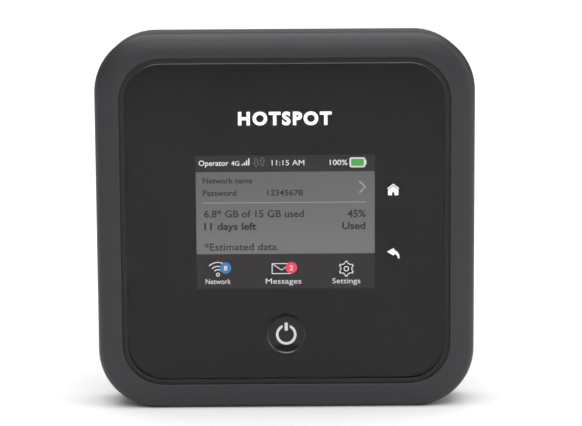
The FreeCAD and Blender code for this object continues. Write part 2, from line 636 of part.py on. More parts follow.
def door_tab_places():
    """(x, z, lies along X) of each locating tab on the battery door."""
    side = BODY_WIDTH / 2 - TAB_INSET
    along_z = CORNER_RADIUS + TAB_FROM_CORNER
    along_x = BODY_WIDTH / 2 - CORNER_RADIUS - TAB_FROM_CORNER
    places = [(sx * side, z, False) for sx in (-1, 1) for z in (along_z, BODY_HEIGHT - along_z)]
    places += [(sx * along_x, z, True) for sx in (-1, 1) for z in (TAB_INSET, BODY_HEIGHT - TAB_INSET)]
    return places


def tab_size(flat, fit=0.0):
    """Width and height of a door tab, optionally larger all round."""
    size = (TAB_LENGTH + 2 * fit, TAB_THICKNESS + 2 * fit)
    return size if flat else size[::-1]


def battery_door():
    """Clip-on back cover: a plate with a rounded rim, a skirt round the deck and eight locating tabs."""
    bend = DOOR_EDGE_ROUND * (1 - math.sin(math.pi / 4))
    skin = [(DOOR_EDGE_ROUND, BACK), ("arc", (bend, BACK - bend), (0, BACK - DOOR_EDGE_ROUND))]
    shape = pillow(skin, DOOR_SEAM + DOOR_REVEAL)
    shape = shape.cut(inset_slab(DOOR_SKIRT, CORNER_RADIUS - DOOR_SKIRT, DOOR_SEAM, DOOR_INNER))
    tip = DECK_FRONT + SMALL_GAP
    tabs = [slab(*tab_size(flat), TAB_ROUND, tip, DOOR_INNER + TAB_ROOT, x, z)
            for x, z, flat in door_tab_places()]
    return shape.fuse(tabs)


# ---------------------------------------------------------------- lens, print and display
def cover_lens():
    """Clear lens over the whole face, with eased edges and the hole of the power button."""
    shape = slab(LENS_WIDTH, LENS_HEIGHT, LENS_RADIUS, FRONT, LENS_BACK)
    shape = shape.makeFillet(LENS_EDGE, edges_at(shape, FRONT))
    hole = BUTTON_RADIUS + BUTTON_FIT
    shape = shape.cut(rod(0, BUTTON_Z, hole, FRONT - OVER, LENS_BACK + OVER))
    return shape.makeChamfer(HOLE_CHAMFER, edges_at(shape, FRONT, (0, BUTTON_Z, hole + OVER)))


def home_sign(y0, y1):
    """House sign of the home key: a roof stroke over a body with a doorway."""
    return [panel([(KEY_X + x, HOME_Z + z) for x, z in points], y0, y1)
            for points in (HOME_ROOF, HOME_BODY)]


def return_sign(y0, y1):
    """Bent arrow of the return key, pointing left."""
    def at(point):
        return (KEY_X + point[0], RETURN_Z + point[1])
    outline = [at(point) for point in ARROW_HEAD]
    outline.append(("arc", at(ARROW_OUTER_BEND[0]), at(ARROW_OUTER_BEND[1])))
    outline.append(at(ARROW_TAIL_END))
    outline.append(("arc", at(ARROW_INNER_BEND[0]), at(ARROW_INNER_BEND[1])))
    return panel(outline, y0, y1)


def lens_print():
    """Opaque film behind the lens, open at the display window, the two key signs and the button."""
    shape = slab(LENS_WIDTH - 2 * PRINT_MARGIN, LENS_HEIGHT - 2 * PRINT_MARGIN,
                 LENS_RADIUS - PRINT_MARGIN, PRINT_FRONT, PRINT_BACK)
    half_x = DISPLAY_WIDTH / 2 + WINDOW_MARGIN
    half_z = DISPLAY_HEIGHT / 2 + WINDOW_MARGIN
    window = box(-half_x, half_x, FRONT, BACK, DISPLAY_Z - half_z, DISPLAY_Z + half_z)
    hole = rod(0, BUTTON_Z, BUTTON_RADIUS + BUTTON_FIT, FRONT, BACK)
    signs = home_sign(PRINT_FRONT - OVER, PRINT_BACK + OVER)
    signs.append(return_sign(PRINT_FRONT - OVER, PRINT_BACK + OVER))
    return shape.cut([window, hole] + signs)


def lens_tape():
    """Adhesive frame that holds the printed lens on the bezel's shelf."""
    outer_inset = LENS_INSET + TAPE_MARGIN
    inner_inset = LENS_INSET + SHELF_WIDTH - TAPE_MARGIN
    outer = inset_slab(outer_inset, LENS_RADIUS - TAPE_MARGIN, PRINT_BACK, SHELF_FRONT)
    inner = inset_slab(inner_inset, SHELF_RADIUS + TAPE_MARGIN, PRINT_BACK - OVER, SHELF_FRONT + OVER)
    return outer.cut(inner)


def module_block(y0, y1, shrink=0.0):
    """A block with the display module's outline, optionally smaller all round."""
    x0 = -DISPLAY_WIDTH / 2 - MODULE_LEFT + shrink
    x1 = DISPLAY_WIDTH / 2 + MODULE_RIGHT - shrink
    reach = DISPLAY_HEIGHT / 2 + MODULE_TOP_BOTTOM - shrink
    return box(x0, x1, y0, y1, DISPLAY_Z - reach, DISPLAY_Z + reach)


def display_panel():
    """Liquid-crystal glass of the display."""
    return module_block(DISPLAY_FRONT, DISPLAY_FRONT + DISPLAY_GLASS, shrink=TRAY_RIM)


def display_backlight():
    """Backlight in its folded metal tray, behind the glass."""
    tray_block = module_block(DISPLAY_FRONT + DISPLAY_GLASS - TRAY_GRIP, DISPLAY_BACK)
    return tray_block.cut(module_block(DISPLAY_FRONT, DISPLAY_FRONT + DISPLAY_GLASS, shrink=TRAY_RIM))


def display_gasket():
    """Foam dust seal between the print and the display glass."""
    reach_x = DISPLAY_WIDTH / 2 + WINDOW_MARGIN
    reach_z = DISPLAY_HEIGHT / 2 + WINDOW_MARGIN
    outer = box(-reach_x - GASKET_WIDTH, reach_x + GASKET_WIDTH, PRINT_BACK, DISPLAY_FRONT,
                DISPLAY_Z - reach_z - GASKET_WIDTH, DISPLAY_Z + reach_z + GASKET_WIDTH)
    inner = box(-reach_x, reach_x, PRINT_BACK - OVER, DISPLAY_FRONT + OVER, DISPLAY_Z - reach_z,
                DISPLAY_Z + reach_z)
    return outer.cut(inner)


def display_flex():
    """Flat cable from the display's side, folded back through the chassis to the board."""
    start = DISPLAY_BACK - BACKLIGHT_DEPTH / 2
    end = BOARD_FRONT - CONNECTOR_HEIGHT
    out = box(FLEX_X, MODULE_EDGE, start, start + FLEX_SHEET, FLEX_LOW, FLEX_HIGH)
    down = box(FLEX_X, FLEX_X + FLEX_SHEET, start, end, FLEX_LOW, FLEX_HIGH)
    tail = box(FLEX_X, FLEX_X + FLEX_TAIL, end - FLEX_SHEET, end, FLEX_LOW, FLEX_HIGH)
    return out.fuse([down, tail])


def flex_connector():
    """Board connector that clamps the display's flat cable."""
    x0 = FLEX_X + FLEX_TAIL - CONNECTOR_OVERLAP
    return box(x0, x0 + CONNECTOR_LENGTH, BOARD_FRONT - CONNECTOR_HEIGHT, BOARD_FRONT,
               FLEX_LOW - CONNECTOR_MARGIN, FLEX_HIGH + CONNECTOR_MARGIN)


def key_guides():
    """White light guides behind the two key signs."""
    back = PRINT_BACK + KEY_GUIDE_DEPTH
    return [slab(KEY_GUIDE, KEY_GUIDE, KEY_GUIDE_RADIUS, PRINT_BACK, back, KEY_X, z)
            for z in (HOME_Z, RETURN_Z)]


def key_leds():
    """LEDs behind the two light guides."""
    front = PRINT_BACK + KEY_GUIDE_DEPTH
    half = KEY_LED / 2
    return [box(KEY_X - half, KEY_X + half, front, front + KEY_LED_DEPTH, z - half, z + half)
            for z in (HOME_Z, RETURN_Z)]


# ---------------------------------------------------------------- power button and its switch
def power_icon_solids(y0, y1):
    """Ring with a gap at the top, and the bar that stands in the gap."""
    ring_z = BUTTON_Z - ICON_DROP
    inside = rod(0, ring_z, ICON_RADIUS - ICON_STROKE, y0 - OVER, y1 + OVER)
    ring = rod(0, ring_z, ICON_RADIUS, y0, y1).cut(inside)
    ring = ring.cut(box(-ICON_GAP, ICON_GAP, y0 - OVER, y1 + OVER, BUTTON_Z,
                        BUTTON_Z + ICON_RADIUS + OVER))
    bar = box(-ICON_BAR_HALF, ICON_BAR_HALF, y0, y1, BUTTON_Z + ICON_BAR_LOW, BUTTON_Z + ICON_BAR_HIGH)
    return [ring, bar]


def dish():
    """The ball that hollows the button's face by BUTTON_DISH across its radius."""
    radius = (BUTTON_RADIUS ** 2 + BUTTON_DISH ** 2) / (2 * BUTTON_DISH)
    return Part.makeSphere(radius, V(0, FRONT + BUTTON_RECESS + BUTTON_DISH - radius, BUTTON_Z))


def power_button():
    """Round button: a dished cap, a flange that keeps it behind the lens, and the plunger."""
    cap = rod(0, BUTTON_Z, BUTTON_RADIUS, FRONT + BUTTON_RECESS, FLANGE_BACK)
    cap = cap.fuse(rod(0, BUTTON_Z, BUTTON_RADIUS + FLANGE_OVERLAP, FLANGE_FRONT, FLANGE_BACK))
    cap = cap.fuse(rod(0, BUTTON_Z, PLUNGER_RADIUS, FLANGE_FRONT, SWITCH_FRONT - SWITCH_STEM_PROUD))
    cap = cap.cut(dish())
    return cap.cut(power_icon_solids(FRONT, ICON_BACK))


def power_icon():
    """White light pipe in the button's face, cut to the same dish."""
    return [solid.cut(dish()) for solid in power_icon_solids(FRONT + BUTTON_RECESS, ICON_BACK)]


def switch_body():
    """Tactile switch on the board, under the plunger."""
    half = SWITCH_SIDE / 2
    block = box(-half, half, SWITCH_FRONT, BOARD_FRONT, BUTTON_Z - half, BUTTON_Z + half)
    well = rod(0, BUTTON_Z, SWITCH_STEM_RADIUS + SWITCH_STEM_FIT, SWITCH_FRONT - OVER, SWITCH_WELL)
    return block.cut(well)


def switch_stem():
    """The switch's own stem, which the plunger pushes."""
    return rod(0, BUTTON_Z, SWITCH_STEM_RADIUS, SWITCH_FRONT - SWITCH_STEM_PROUD,
               SWITCH_WELL - BUTTON_TRAVEL - SMALL_GAP)


# ---------------------------------------------------------------- chassis, board and what is on it
def chassis_plate():
    """Die-cast plate that carries the display and the board."""
    inset = WALL + CHASSIS_MARGIN
    shape = inset_slab(inset, CORNER_RADIUS - inset, CHASSIS_FRONT, CHASSIS_BACK)
    holes = [rod(x, z, SCREW_HOLE, CHASSIS_FRONT - OVER, CHASSIS_BACK + OVER) for x, z in SCREW_PLACES]
    holes += [rod(x, z, BOARD_SCREW_TAP, CHASSIS_FRONT - OVER, CHASSIS_BACK + OVER)
              for x, z in BOARD_SCREW_PLACES]
    holes.append(rod(0, BUTTON_Z, PLUNGER_RADIUS + PLUNGER_CLEARANCE, CHASSIS_FRONT - OVER,
                     CHASSIS_BACK + OVER))
    holes.append(box(FLEX_X - FLEX_PASS_FIT, FLEX_X + FLEX_SHEET + FLEX_PASS_FIT, CHASSIS_FRONT - OVER,
                     CHASSIS_BACK + OVER, FLEX_LOW - FLEX_PASS_FIT, FLEX_HIGH + FLEX_PASS_FIT))
    return shape.cut(holes)


def board_spacers():
    """Brass spacers between the chassis and the board, round the board screws."""
    spacers = []
    for x, z in BOARD_SCREW_PLACES:
        hole = rod(x, z, BOARD_SCREW_HOLE, CHASSIS_BACK - OVER, BOARD_FRONT + OVER)
        spacers.append(rod(x, z, SPACER_RADIUS, CHASSIS_BACK, BOARD_FRONT).cut(hole))
    return spacers


def main_board():
    """Circuit board, notched for the Ethernet jack that is sunk into it."""
    inset = WALL + BOARD_MARGIN
    shape = inset_slab(inset, CORNER_RADIUS - inset, BOARD_FRONT, BOARD_BACK)
    cuts = [rod(x, z, SCREW_HOLE, BOARD_FRONT - OVER, BOARD_BACK + OVER) for x, z in SCREW_PLACES]
    cuts += [rod(x, z, BOARD_SCREW_HOLE, BOARD_FRONT - OVER, BOARD_BACK + OVER)
             for x, z in BOARD_SCREW_PLACES]
    reach = JACK_WIDTH / 2 + BOARD_CUT_FIT
    cuts.append(box(ETHERNET_X - reach, ETHERNET_X + reach, BOARD_FRONT - OVER, BOARD_BACK + OVER,
                    0, JACK_TOP + BOARD_CUT_FIT))
    return shape.cut(cuts)


def can(place, y0, y1, open_back):
    """Pressed shielding can over place (x, z, width, height); its open side faces the board."""
    x, z, width, height = place
    shell = slab(width, height, CAN_RADIUS, y0, y1, x, z)
    near, far = (CAN_SHEET, OVER) if open_back else (-OVER, -CAN_SHEET)
    inner = slab(width - 2 * CAN_SHEET, height - 2 * CAN_SHEET, CAN_RADIUS - CAN_SHEET, y0 + near,
                 y1 + far, x, z)
    return shell.cut(inner)


def chip(place, side, height, behind):
    """A chip package in the middle of a can, on the front or the back of the board."""
    y0 = BOARD_BACK if behind else BOARD_FRONT - height
    half = side / 2
    return box(place[0] - half, place[0] + half, y0, y0 + height, place[1] - half, place[1] + half)


def can_pads():
    """Thermal pads between the rear cans and the heat spreader."""
    return [slab(w - 2 * PAD_MARGIN, h - 2 * PAD_MARGIN, CAN_RADIUS, PAD_FRONT, SPREADER_FRONT, x, z)
            for x, z, w, h in (RADIO_CAN, POWER_CAN)]


def heat_spreader():
    """Aluminium sheet under the bay's floor, open round the SIM socket."""
    shape = slab(2 * BAY_HALF, BAY_HIGH - BAY_LOW, BATTERY_RADIUS, SPREADER_FRONT, SPREADER_BACK,
                 z=(BAY_LOW + BAY_HIGH) / 2)
    cut = slab(SIM_WIDTH + 2 * SIM_WINDOW_MARGIN, SIM_LENGTH + 2 * SIM_WINDOW_MARGIN, WINDOW_RADIUS,
               SPREADER_FRONT - OVER, SPREADER_BACK + OVER, SIM_X, SIM_Z)
    return shape.cut(cut)


def sim_socket():
    """Socket for a nano SIM, reached through the bay's floor; the card slides in from above."""
    y1 = BOARD_BACK + SIM_HEIGHT
    shell = slab(SIM_WIDTH, SIM_LENGTH, SIM_RADIUS, BOARD_BACK, y1, SIM_X, SIM_Z)
    half = SIM_CARD_WIDTH / 2
    top = SIM_Z + SIM_LENGTH / 2
    slot = box(SIM_X - half, SIM_X + half, BOARD_BACK + SIM_FLOOR, y1 - CAN_SHEET,
               top - SIM_LENGTH + SIM_STOP, top + OVER)
    thumb = rod(SIM_X, top, SIM_THUMB_RADIUS, y1 - CAN_SHEET - SIM_FLOOR, y1 + OVER)
    return shell.cut([slot, thumb])


def terminal_leaves(y0, y1, x0, x1):
    """One block per battery terminal, between x0 and x1."""
    first = TERMINAL_Z - (TERMINAL_COUNT - 1) * TERMINAL_PITCH / 2
    places = [first + k * TERMINAL_PITCH for k in range(TERMINAL_COUNT)]
    return [box(x0, x1, y0, y1, z - TERMINAL_WIDTH / 2, z + TERMINAL_WIDTH / 2) for z in places]


def battery_terminal():
    """Insulating block beside the bay that holds the battery's spring contacts."""
    block = box(TERMINAL_FACE - TERMINAL_BLOCK_DEPTH, TERMINAL_FACE, BOARD_BACK,
                DECK_FRONT - TERMINAL_COVER, TERMINAL_Z - TERMINAL_REACH, TERMINAL_Z + TERMINAL_REACH)
    return block.cut(terminal_leaves(SPRING_FRONT, DECK_FRONT, TERMINAL_BACK, TERMINAL_FACE + OVER))


def terminal_springs():
    """Bent leaf contacts that reach through the bay's wall to the battery."""
    arm_y = SPRING_FRONT + TERMINAL_ARM
    leaves = []
    for back in terminal_leaves(SPRING_FRONT, DECK_FRONT - TERMINAL_COVER, TERMINAL_BACK,
                                TERMINAL_BACK + TERMINAL_LEAF):
        z0, z1 = back.BoundBox.ZMin, back.BoundBox.ZMax
        arm = box(TERMINAL_BACK, TERMINAL_TIP, arm_y, arm_y + TERMINAL_LEAF, z0, z1)
        nose = box(TERMINAL_TIP - TERMINAL_LEAF, TERMINAL_TIP, arm_y - TERMINAL_NOSE,
                   arm_y + TERMINAL_LEAF, z0, z1)
        leaves.append(back.fuse([arm, nose]))
    return leaves


# ---------------------------------------------------------------- battery
def battery_pack():
    """Flat removable cell with a recess for its label and shallow seats for its contacts."""
    centre = BATTERY_LOW + BATTERY_HEIGHT / 2
    shape = slab(BATTERY_WIDTH, BATTERY_HEIGHT, BATTERY_RADIUS, BATTERY_FRONT, BATTERY_BACK, z=centre)
    edges = edges_at(shape, BATTERY_BACK) + edges_at(shape, BATTERY_FRONT)
    shape = shape.makeFillet(BATTERY_ROUND, edges)
    shape = shape.cut(battery_label())
    return shape.cut(battery_contacts())


def battery_label():
    """Label set into the battery's back."""
    return slab(BATTERY_WIDTH - 2 * LABEL_MARGIN, BATTERY_HEIGHT - 2 * LABEL_MARGIN, LABEL_RADIUS,
                BATTERY_BACK - LABEL_THICKNESS, BATTERY_BACK, z=BATTERY_LOW + BATTERY_HEIGHT / 2)


def battery_contacts():
    """Gilded pads in the battery's side."""
    side = -BATTERY_WIDTH / 2
    return terminal_leaves(SPRING_FRONT - CONTACT_EDGE, DECK_FRONT - TERMINAL_COVER, side,
                           side + CONTACT_PLATE)


def bay_label():
    """Blank rating label on the bay's floor, under the battery."""
    low = SIM_Z + SIM_LENGTH / 2 + SIM_WINDOW_MARGIN + BAY_LABEL_LOW
    high = BAY_HIGH - BAY_LABEL_HIGH
    return slab(2 * (BAY_HALF - BAY_LABEL_SIDE), high - low, LABEL_RADIUS, FLOOR_BACK,
                FLOOR_BACK + LABEL_THICKNESS, z=(low + high) / 2)


def door_pad():
    """Foam on the inside of the door that steadies the battery."""
    return slab(BATTERY_WIDTH - 2 * DOOR_PAD_MARGIN, BATTERY_HEIGHT - 2 * DOOR_PAD_MARGIN,
                DOOR_PAD_RADIUS, BATTERY_BACK + DOOR_PAD_GAP, DOOR_INNER,
                z=BATTERY_LOW + BATTERY_HEIGHT / 2)


# ---------------------------------------------------------------- Ethernet jack
def ethernet_aperture(z0, z1, fit=0.0):
    """The plug's opening and the slot beside it for the plug's latch, as two blocks."""
    half, latch = PLUG_WIDTH / 2 + fit, LATCH_WIDTH / 2 + fit
    plug = box(ETHERNET_X - half, ETHERNET_X + half, PLUG_FRONT - fit, PLUG_FRONT + PLUG_HEIGHT + fit,
               z0, z1)
    slot = box(ETHERNET_X - latch, ETHERNET_X + latch, PLUG_FRONT,
               PLUG_FRONT + PLUG_HEIGHT + LATCH_HEIGHT + fit, z0, z1)
    return [plug, slot]


def ethernet_shell():
    """Folded steel shield round the jack, open at the mouth, with two ears that rest on the board."""
    half = JACK_WIDTH / 2
    shell = box(ETHERNET_X - half, ETHERNET_X + half, JACK_FRONT, JACK_BACK, JACK_LOW, JACK_TOP)
    inner = box(ETHERNET_X - half + JACK_SKIN, ETHERNET_X + half - JACK_SKIN, JACK_FRONT + JACK_SKIN,
                JACK_BACK - JACK_SKIN, JACK_LOW - OVER, JACK_TOP - JACK_SKIN)
    z1 = JACK_TOP - EAR_FROM_BACK
    ears = [box(ETHERNET_X + sx * half + min(0, sx * EAR_REACH),
                ETHERNET_X + sx * half + max(0, sx * EAR_REACH),
                BOARD_BACK, BOARD_BACK + JACK_SKIN, z1 - EAR_LENGTH, z1) for sx in (-1, 1)]
    return shell.cut(inner).fuse(ears)


def ethernet_insert():
    """Moulded body of the jack, hollow for the plug."""
    half = JACK_WIDTH / 2 - JACK_SKIN
    block = box(ETHERNET_X - half, ETHERNET_X + half, JACK_FRONT + JACK_SKIN, JACK_BACK - JACK_SKIN,
                JACK_LOW, JACK_TOP - JACK_SKIN)
    return block.cut(ethernet_aperture(JACK_LOW - OVER, JACK_LOW + CAVITY_DEPTH))


def ethernet_contacts():
    """Eight sprung contacts, sloping into the plug's space from the front wall."""
    first = ETHERNET_X - (ETHERNET_CONTACTS - 1) * CONTACT_PITCH / 2
    y0 = PLUG_FRONT
    z0, z1 = JACK_LOW + CONTACT_START, JACK_LOW + CAVITY_DEPTH
    contacts = []
    for k in range(ETHERNET_CONTACTS):
        x = first + k * CONTACT_PITCH - CONTACT_WIDTH / 2
        corners = [V(x, y0, z0), V(x, y0 + CONTACT_SHEET, z0), V(x, y0 + CONTACT_LIFT, z1),
                   V(x, y0 + CONTACT_LIFT - CONTACT_SHEET, z1)]
        edges = [Part.makeLine(corners[i], corners[(i + 1) % 4]) for i in range(4)]
        contacts.append(Part.Face(Part.Wire(edges)).extrude(V(CONTACT_WIDTH, 0, 0)))
    return contacts


# ---------------------------------------------------------------- USB-C receptacle
def usb_column(width, height, z0, z1):
    """Round-ended column along Z about the receptacle's middle."""
    half = (width - height) / 2
    middle = box(USB_X - half, USB_X + half, PORT_Y - height / 2, PORT_Y + height / 2, z0, z1)
    ends = [post(USB_X + sx * half, PORT_Y, height / 2, z0, z1) for sx in (-1, 1)]
    return middle.fuse(ends).removeSplitter()


def usb_shell():
    """Drawn steel shell of the receptacle."""
    z0, z1 = USB_RECESS, USB_RECESS + USB_DEPTH
    outer = usb_column(USB_WIDTH, USB_HEIGHT, z0, z1)
    inner = usb_column(USB_WIDTH - 2 * USB_SKIN, USB_HEIGHT - 2 * USB_SKIN, z0 - OVER, z1 + OVER)
    return outer.cut(inner)


def usb_tongue():
    """Insulator: the contact tongue, the plug's stop and the foot on the board."""
    z1 = USB_RECESS + USB_DEPTH
    half = USB_TONGUE_WIDTH / 2
    thick = USB_TONGUE_THICKNESS / 2
    stop = usb_column(USB_WIDTH - 2 * USB_SKIN, USB_HEIGHT - 2 * USB_SKIN, z1 - USB_STOP, z1)
    tongue = box(USB_X - half, USB_X + half, PORT_Y - thick, PORT_Y + thick,
                 USB_RECESS + USB_TONGUE_RECESS, z1 - USB_STOP / 2)
    foot = box(USB_X - half, USB_X + half, BOARD_BACK, PORT_Y - USB_HEIGHT / 2,
               WALL + BOARD_MARGIN + USB_FOOT_SETBACK, z1)
    return [stop.fuse(tongue), foot]


def usb_contacts():
    """Gilded contacts on each side of the tongue."""
    thick = USB_TONGUE_THICKNESS / 2
    half = USB_CONTACT_WIDTH / 2
    low = USB_RECESS + USB_TONGUE_RECESS + USB_CONTACT_SETBACK
    high = USB_RECESS + USB_DEPTH - USB_STOP
    pads = []
    for k in range(USB_CONTACTS):
        x = USB_X + (k - (USB_CONTACTS - 1) / 2) * USB_PITCH
        for y0 in (PORT_Y - thick - USB_CONTACT_SHEET, PORT_Y + thick):
            pads.append(box(x - half, x + half, y0, y0 + USB_CONTACT_SHEET, low, high))
    return pads


# ---------------------------------------------------------------- antenna jacks and their caps
def antenna_jack(side):
    """Push-fit coaxial jack: a turned sleeve on a foot."""
    x = side * CAP_X
    low = POCKET_TOP + PORT_FIT
    high = low + ANTENNA_JACK_DEPTH
    bore = post(x, PORT_Y, ANTENNA_JACK_BORE, low - OVER, high - ANTENNA_BASE)
    sleeve = post(x, PORT_Y, ANTENNA_JACK_RADIUS, low, high).cut(bore)
    foot_low = POCKET_TOP + CAP_SEAT + PORT_FIT
    foot = box(x - ANTENNA_JACK_RADIUS, x + ANTENNA_JACK_RADIUS, BOARD_BACK, PORT_Y - ANTENNA_JACK_BORE,
               foot_low, high)
    return sleeve.fuse(foot).removeSplitter()


def antenna_core(side):
    """Insulating bead at the bottom of the jack."""
    low = POCKET_TOP + PORT_FIT
    high = low + ANTENNA_JACK_DEPTH - ANTENNA_BASE
    bead = post(side * CAP_X, PORT_Y, ANTENNA_JACK_BORE, high - ANTENNA_BEAD, high)
    tube = post(side * CAP_X, PORT_Y, ANTENNA_CORE_RADIUS, low + ANTENNA_CORE_RECESS,
                high - ANTENNA_BEAD)
    return bead.fuse(tube).cut(post(side * CAP_X, PORT_Y, ANTENNA_PIN_RADIUS, 0, high + OVER))


def antenna_pin(side):
    """Gilded centre contact of the jack."""
    low = POCKET_TOP + PORT_FIT
    return post(side * CAP_X, PORT_Y, ANTENNA_PIN_RADIUS, low + ANTENNA_PIN_RECESS,
                low + ANTENNA_JACK_DEPTH - ANTENNA_BASE)


def cap_axle(side, radius, half_length):
    """A cylinder along the cap's hinge axis."""
    start = V(side * CAP_AXIS_X, PORT_Y - half_length, CAP_AXIS_Z)
    return Part.makeCylinder(radius, 2 * half_length, start, V(0, 1, 0))


def cap_pocket(side):
    """The cap's pocket in the lower wall, and the bores for its hinge pins."""
    half = CAP_LENGTH / 2 + CAP_FIT
    reach = CAP_WIDTH / 2 + CAP_FIT
    pocket = box(side * CAP_X - half, side * CAP_X + half, PORT_Y - reach, PORT_Y + reach, -OVER,
                 POCKET_TOP)
    bore = cap_axle(side, CAP_PIN_RADIUS + CAP_PIN_FIT, CAP_WIDTH / 2 + CAP_PIN_LENGTH + CAP_PIN_FIT)
    grip = post(side * (CAP_X - CAP_LENGTH / 2), PORT_Y, CAP_GRIP_RADIUS, -OVER, CAP_GRIP_DEPTH)
    return [pocket, bore, grip]


def port_cap(side):
    """Soft cap over an antenna jack: a plate with a round hinge edge and two pins."""
    x0 = CAP_X - CAP_LENGTH / 2
    low, high = CAP_RECESS, CAP_RECESS + CAP_THICKNESS
    plate = box(x0, CAP_AXIS_X, PORT_Y - CAP_WIDTH / 2, PORT_Y + CAP_WIDTH / 2, low, high)
    free_corners = [e for e in plate.Edges
                    if abs(e.tangentAt(e.FirstParameter).z) > PARALLEL
                    and e.CenterOfMass.x < x0 + CLOSE]
    plate = plate.makeFillet(CAP_RADIUS, free_corners)
    barrel = cap_axle(1, CAP_THICKNESS / 2, CAP_WIDTH / 2)
    pins = cap_axle(1, CAP_PIN_RADIUS, CAP_WIDTH / 2 + CAP_PIN_LENGTH)
    shape = plate.fuse([barrel, pins]).removeSplitter()
    return shape if side > 0 else mirrored(shape)


# ---------------------------------------------------------------- antennas
def side_carrier(side):
    """Moulded carrier of an antenna, standing against a side wall."""
    outer = BODY_WIDTH / 2 - WALL
    low, high = CORNER_RADIUS + CARRIER_END_GAP, BODY_HEIGHT - CORNER_RADIUS - CARRIER_END_GAP
    shape = box(outer - CARRIER_THICKNESS, outer, CARRIER_FRONT, CARRIER_BACK, low, high)
    return shape if side > 0 else mirrored(shape)


def top_carrier(side):
    """Moulded carrier of an antenna, under the top wall."""
    top = BODY_HEIGHT - WALL
    shape = box(TOP_CARRIER_START, BODY_WIDTH / 2 - CORNER_RADIUS, CARRIER_FRONT, CARRIER_BACK,
                top - CARRIER_DEPTH, top)
    shape = shape.cut(box(0, BODY_WIDTH, CARRIER_FRONT + CARRIER_RIM, CARRIER_BACK - CARRIER_RIM,
                          top - CARRIER_DEPTH - OVER, top - CARRIER_THICKNESS))
    return shape if side > 0 else mirrored(shape)


def side_foil(side):
    """Copper radiator on the inner face of a side carrier: a bar with two arms."""
    inner = BODY_WIDTH / 2 - WALL - CARRIER_THICKNESS
    ends = CORNER_RADIUS + CARRIER_END_GAP + FOIL_MARGIN
    low, high = ends, BODY_HEIGHT - ends
    y0, y1 = CARRIER_FRONT + FOIL_MARGIN, CARRIER_BACK - FOIL_MARGIN
    bar = box(inner - FOIL, inner, y0, y0 + FOIL_BAR, low, high)
    arms = [box(inner - FOIL, inner, y0, y1, z, z + FOIL_ARM)
            for z in (low, high - FOIL_FEED - FOIL_ARM)]
    shape = bar.fuse(arms)
    return shape if side > 0 else mirrored(shape)


def top_foil(side):
    """Copper radiator on the front face of an upper carrier."""
    top = BODY_HEIGHT - WALL - FOIL_MARGIN / 2
    x0, x1 = TOP_CARRIER_START + FOIL_MARGIN, BODY_WIDTH / 2 - CORNER_RADIUS - FOIL_MARGIN
    y0 = CARRIER_FRONT - FOIL
    shape = box(x0, x1, y0, CARRIER_FRONT, top - FOIL_BAR, top)
    shape = shape.fuse(box(x1 - FOIL_ARM, x1, y0, CARRIER_FRONT, top - CARRIER_DEPTH + FOIL_MARGIN, top))
    return shape if side > 0 else mirrored(shape)


# ---------------------------------------------------------------- fasteners
def housing_screws():
    """Long screws from the back, down the housing's tubes, into the bezel's inserts."""
    screws = []
    for x, z in SCREW_PLACES:
        head = rod(x, z, SCREW_HEAD, SCREW_SEAT, SCREW_SEAT + SCREW_HEAD_HEIGHT)
        shank = rod(x, z, SCREW_SHANK, CHASSIS_FRONT - INSERT_LENGTH + SCREW_END_GAP,
                    SCREW_SEAT + HEAD_ROOT)
        socket = hex_socket(x, z, SCREW_SEAT + SCREW_HEAD_HEIGHT)
        screws.append(head.fuse(shank).cut(socket))
    return screws


def hex_socket(x, z, top):
    """The six-sided socket of a screw head, as the block to cut away."""
    points = [(x + SOCKET_RADIUS * math.cos(math.radians(60 * k)),
               z + SOCKET_RADIUS * math.sin(math.radians(60 * k)))
              for k in range(6)]
    return panel(points, top - SOCKET_DEPTH, top + OVER)


def thread_inserts():
    """Brass inserts moulded into the bezel's bosses."""
    start = CHASSIS_FRONT - INSERT_LENGTH
    inserts = []
    for x, z in SCREW_PLACES:
        bore = rod(x, z, INSERT_BORE, start - OVER, CHASSIS_FRONT + OVER)
        inserts.append(rod(x, z, INSERT_RADIUS, start, CHASSIS_FRONT).cut(bore))
    return inserts


def board_screws():
    """Short screws that hold the board on its spacers and the chassis."""
    screws = []
    for x, z in BOARD_SCREW_PLACES:
        head = rod(x, z, BOARD_SCREW_HEAD, BOARD_BACK, BOARD_BACK + BOARD_SCREW_HEAD_HEIGHT)
        screws.append(head.fuse(rod(x, z, BOARD_SCREW_SHANK, CHASSIS_FRONT, BOARD_BACK + HEAD_ROOT)))
    return screws


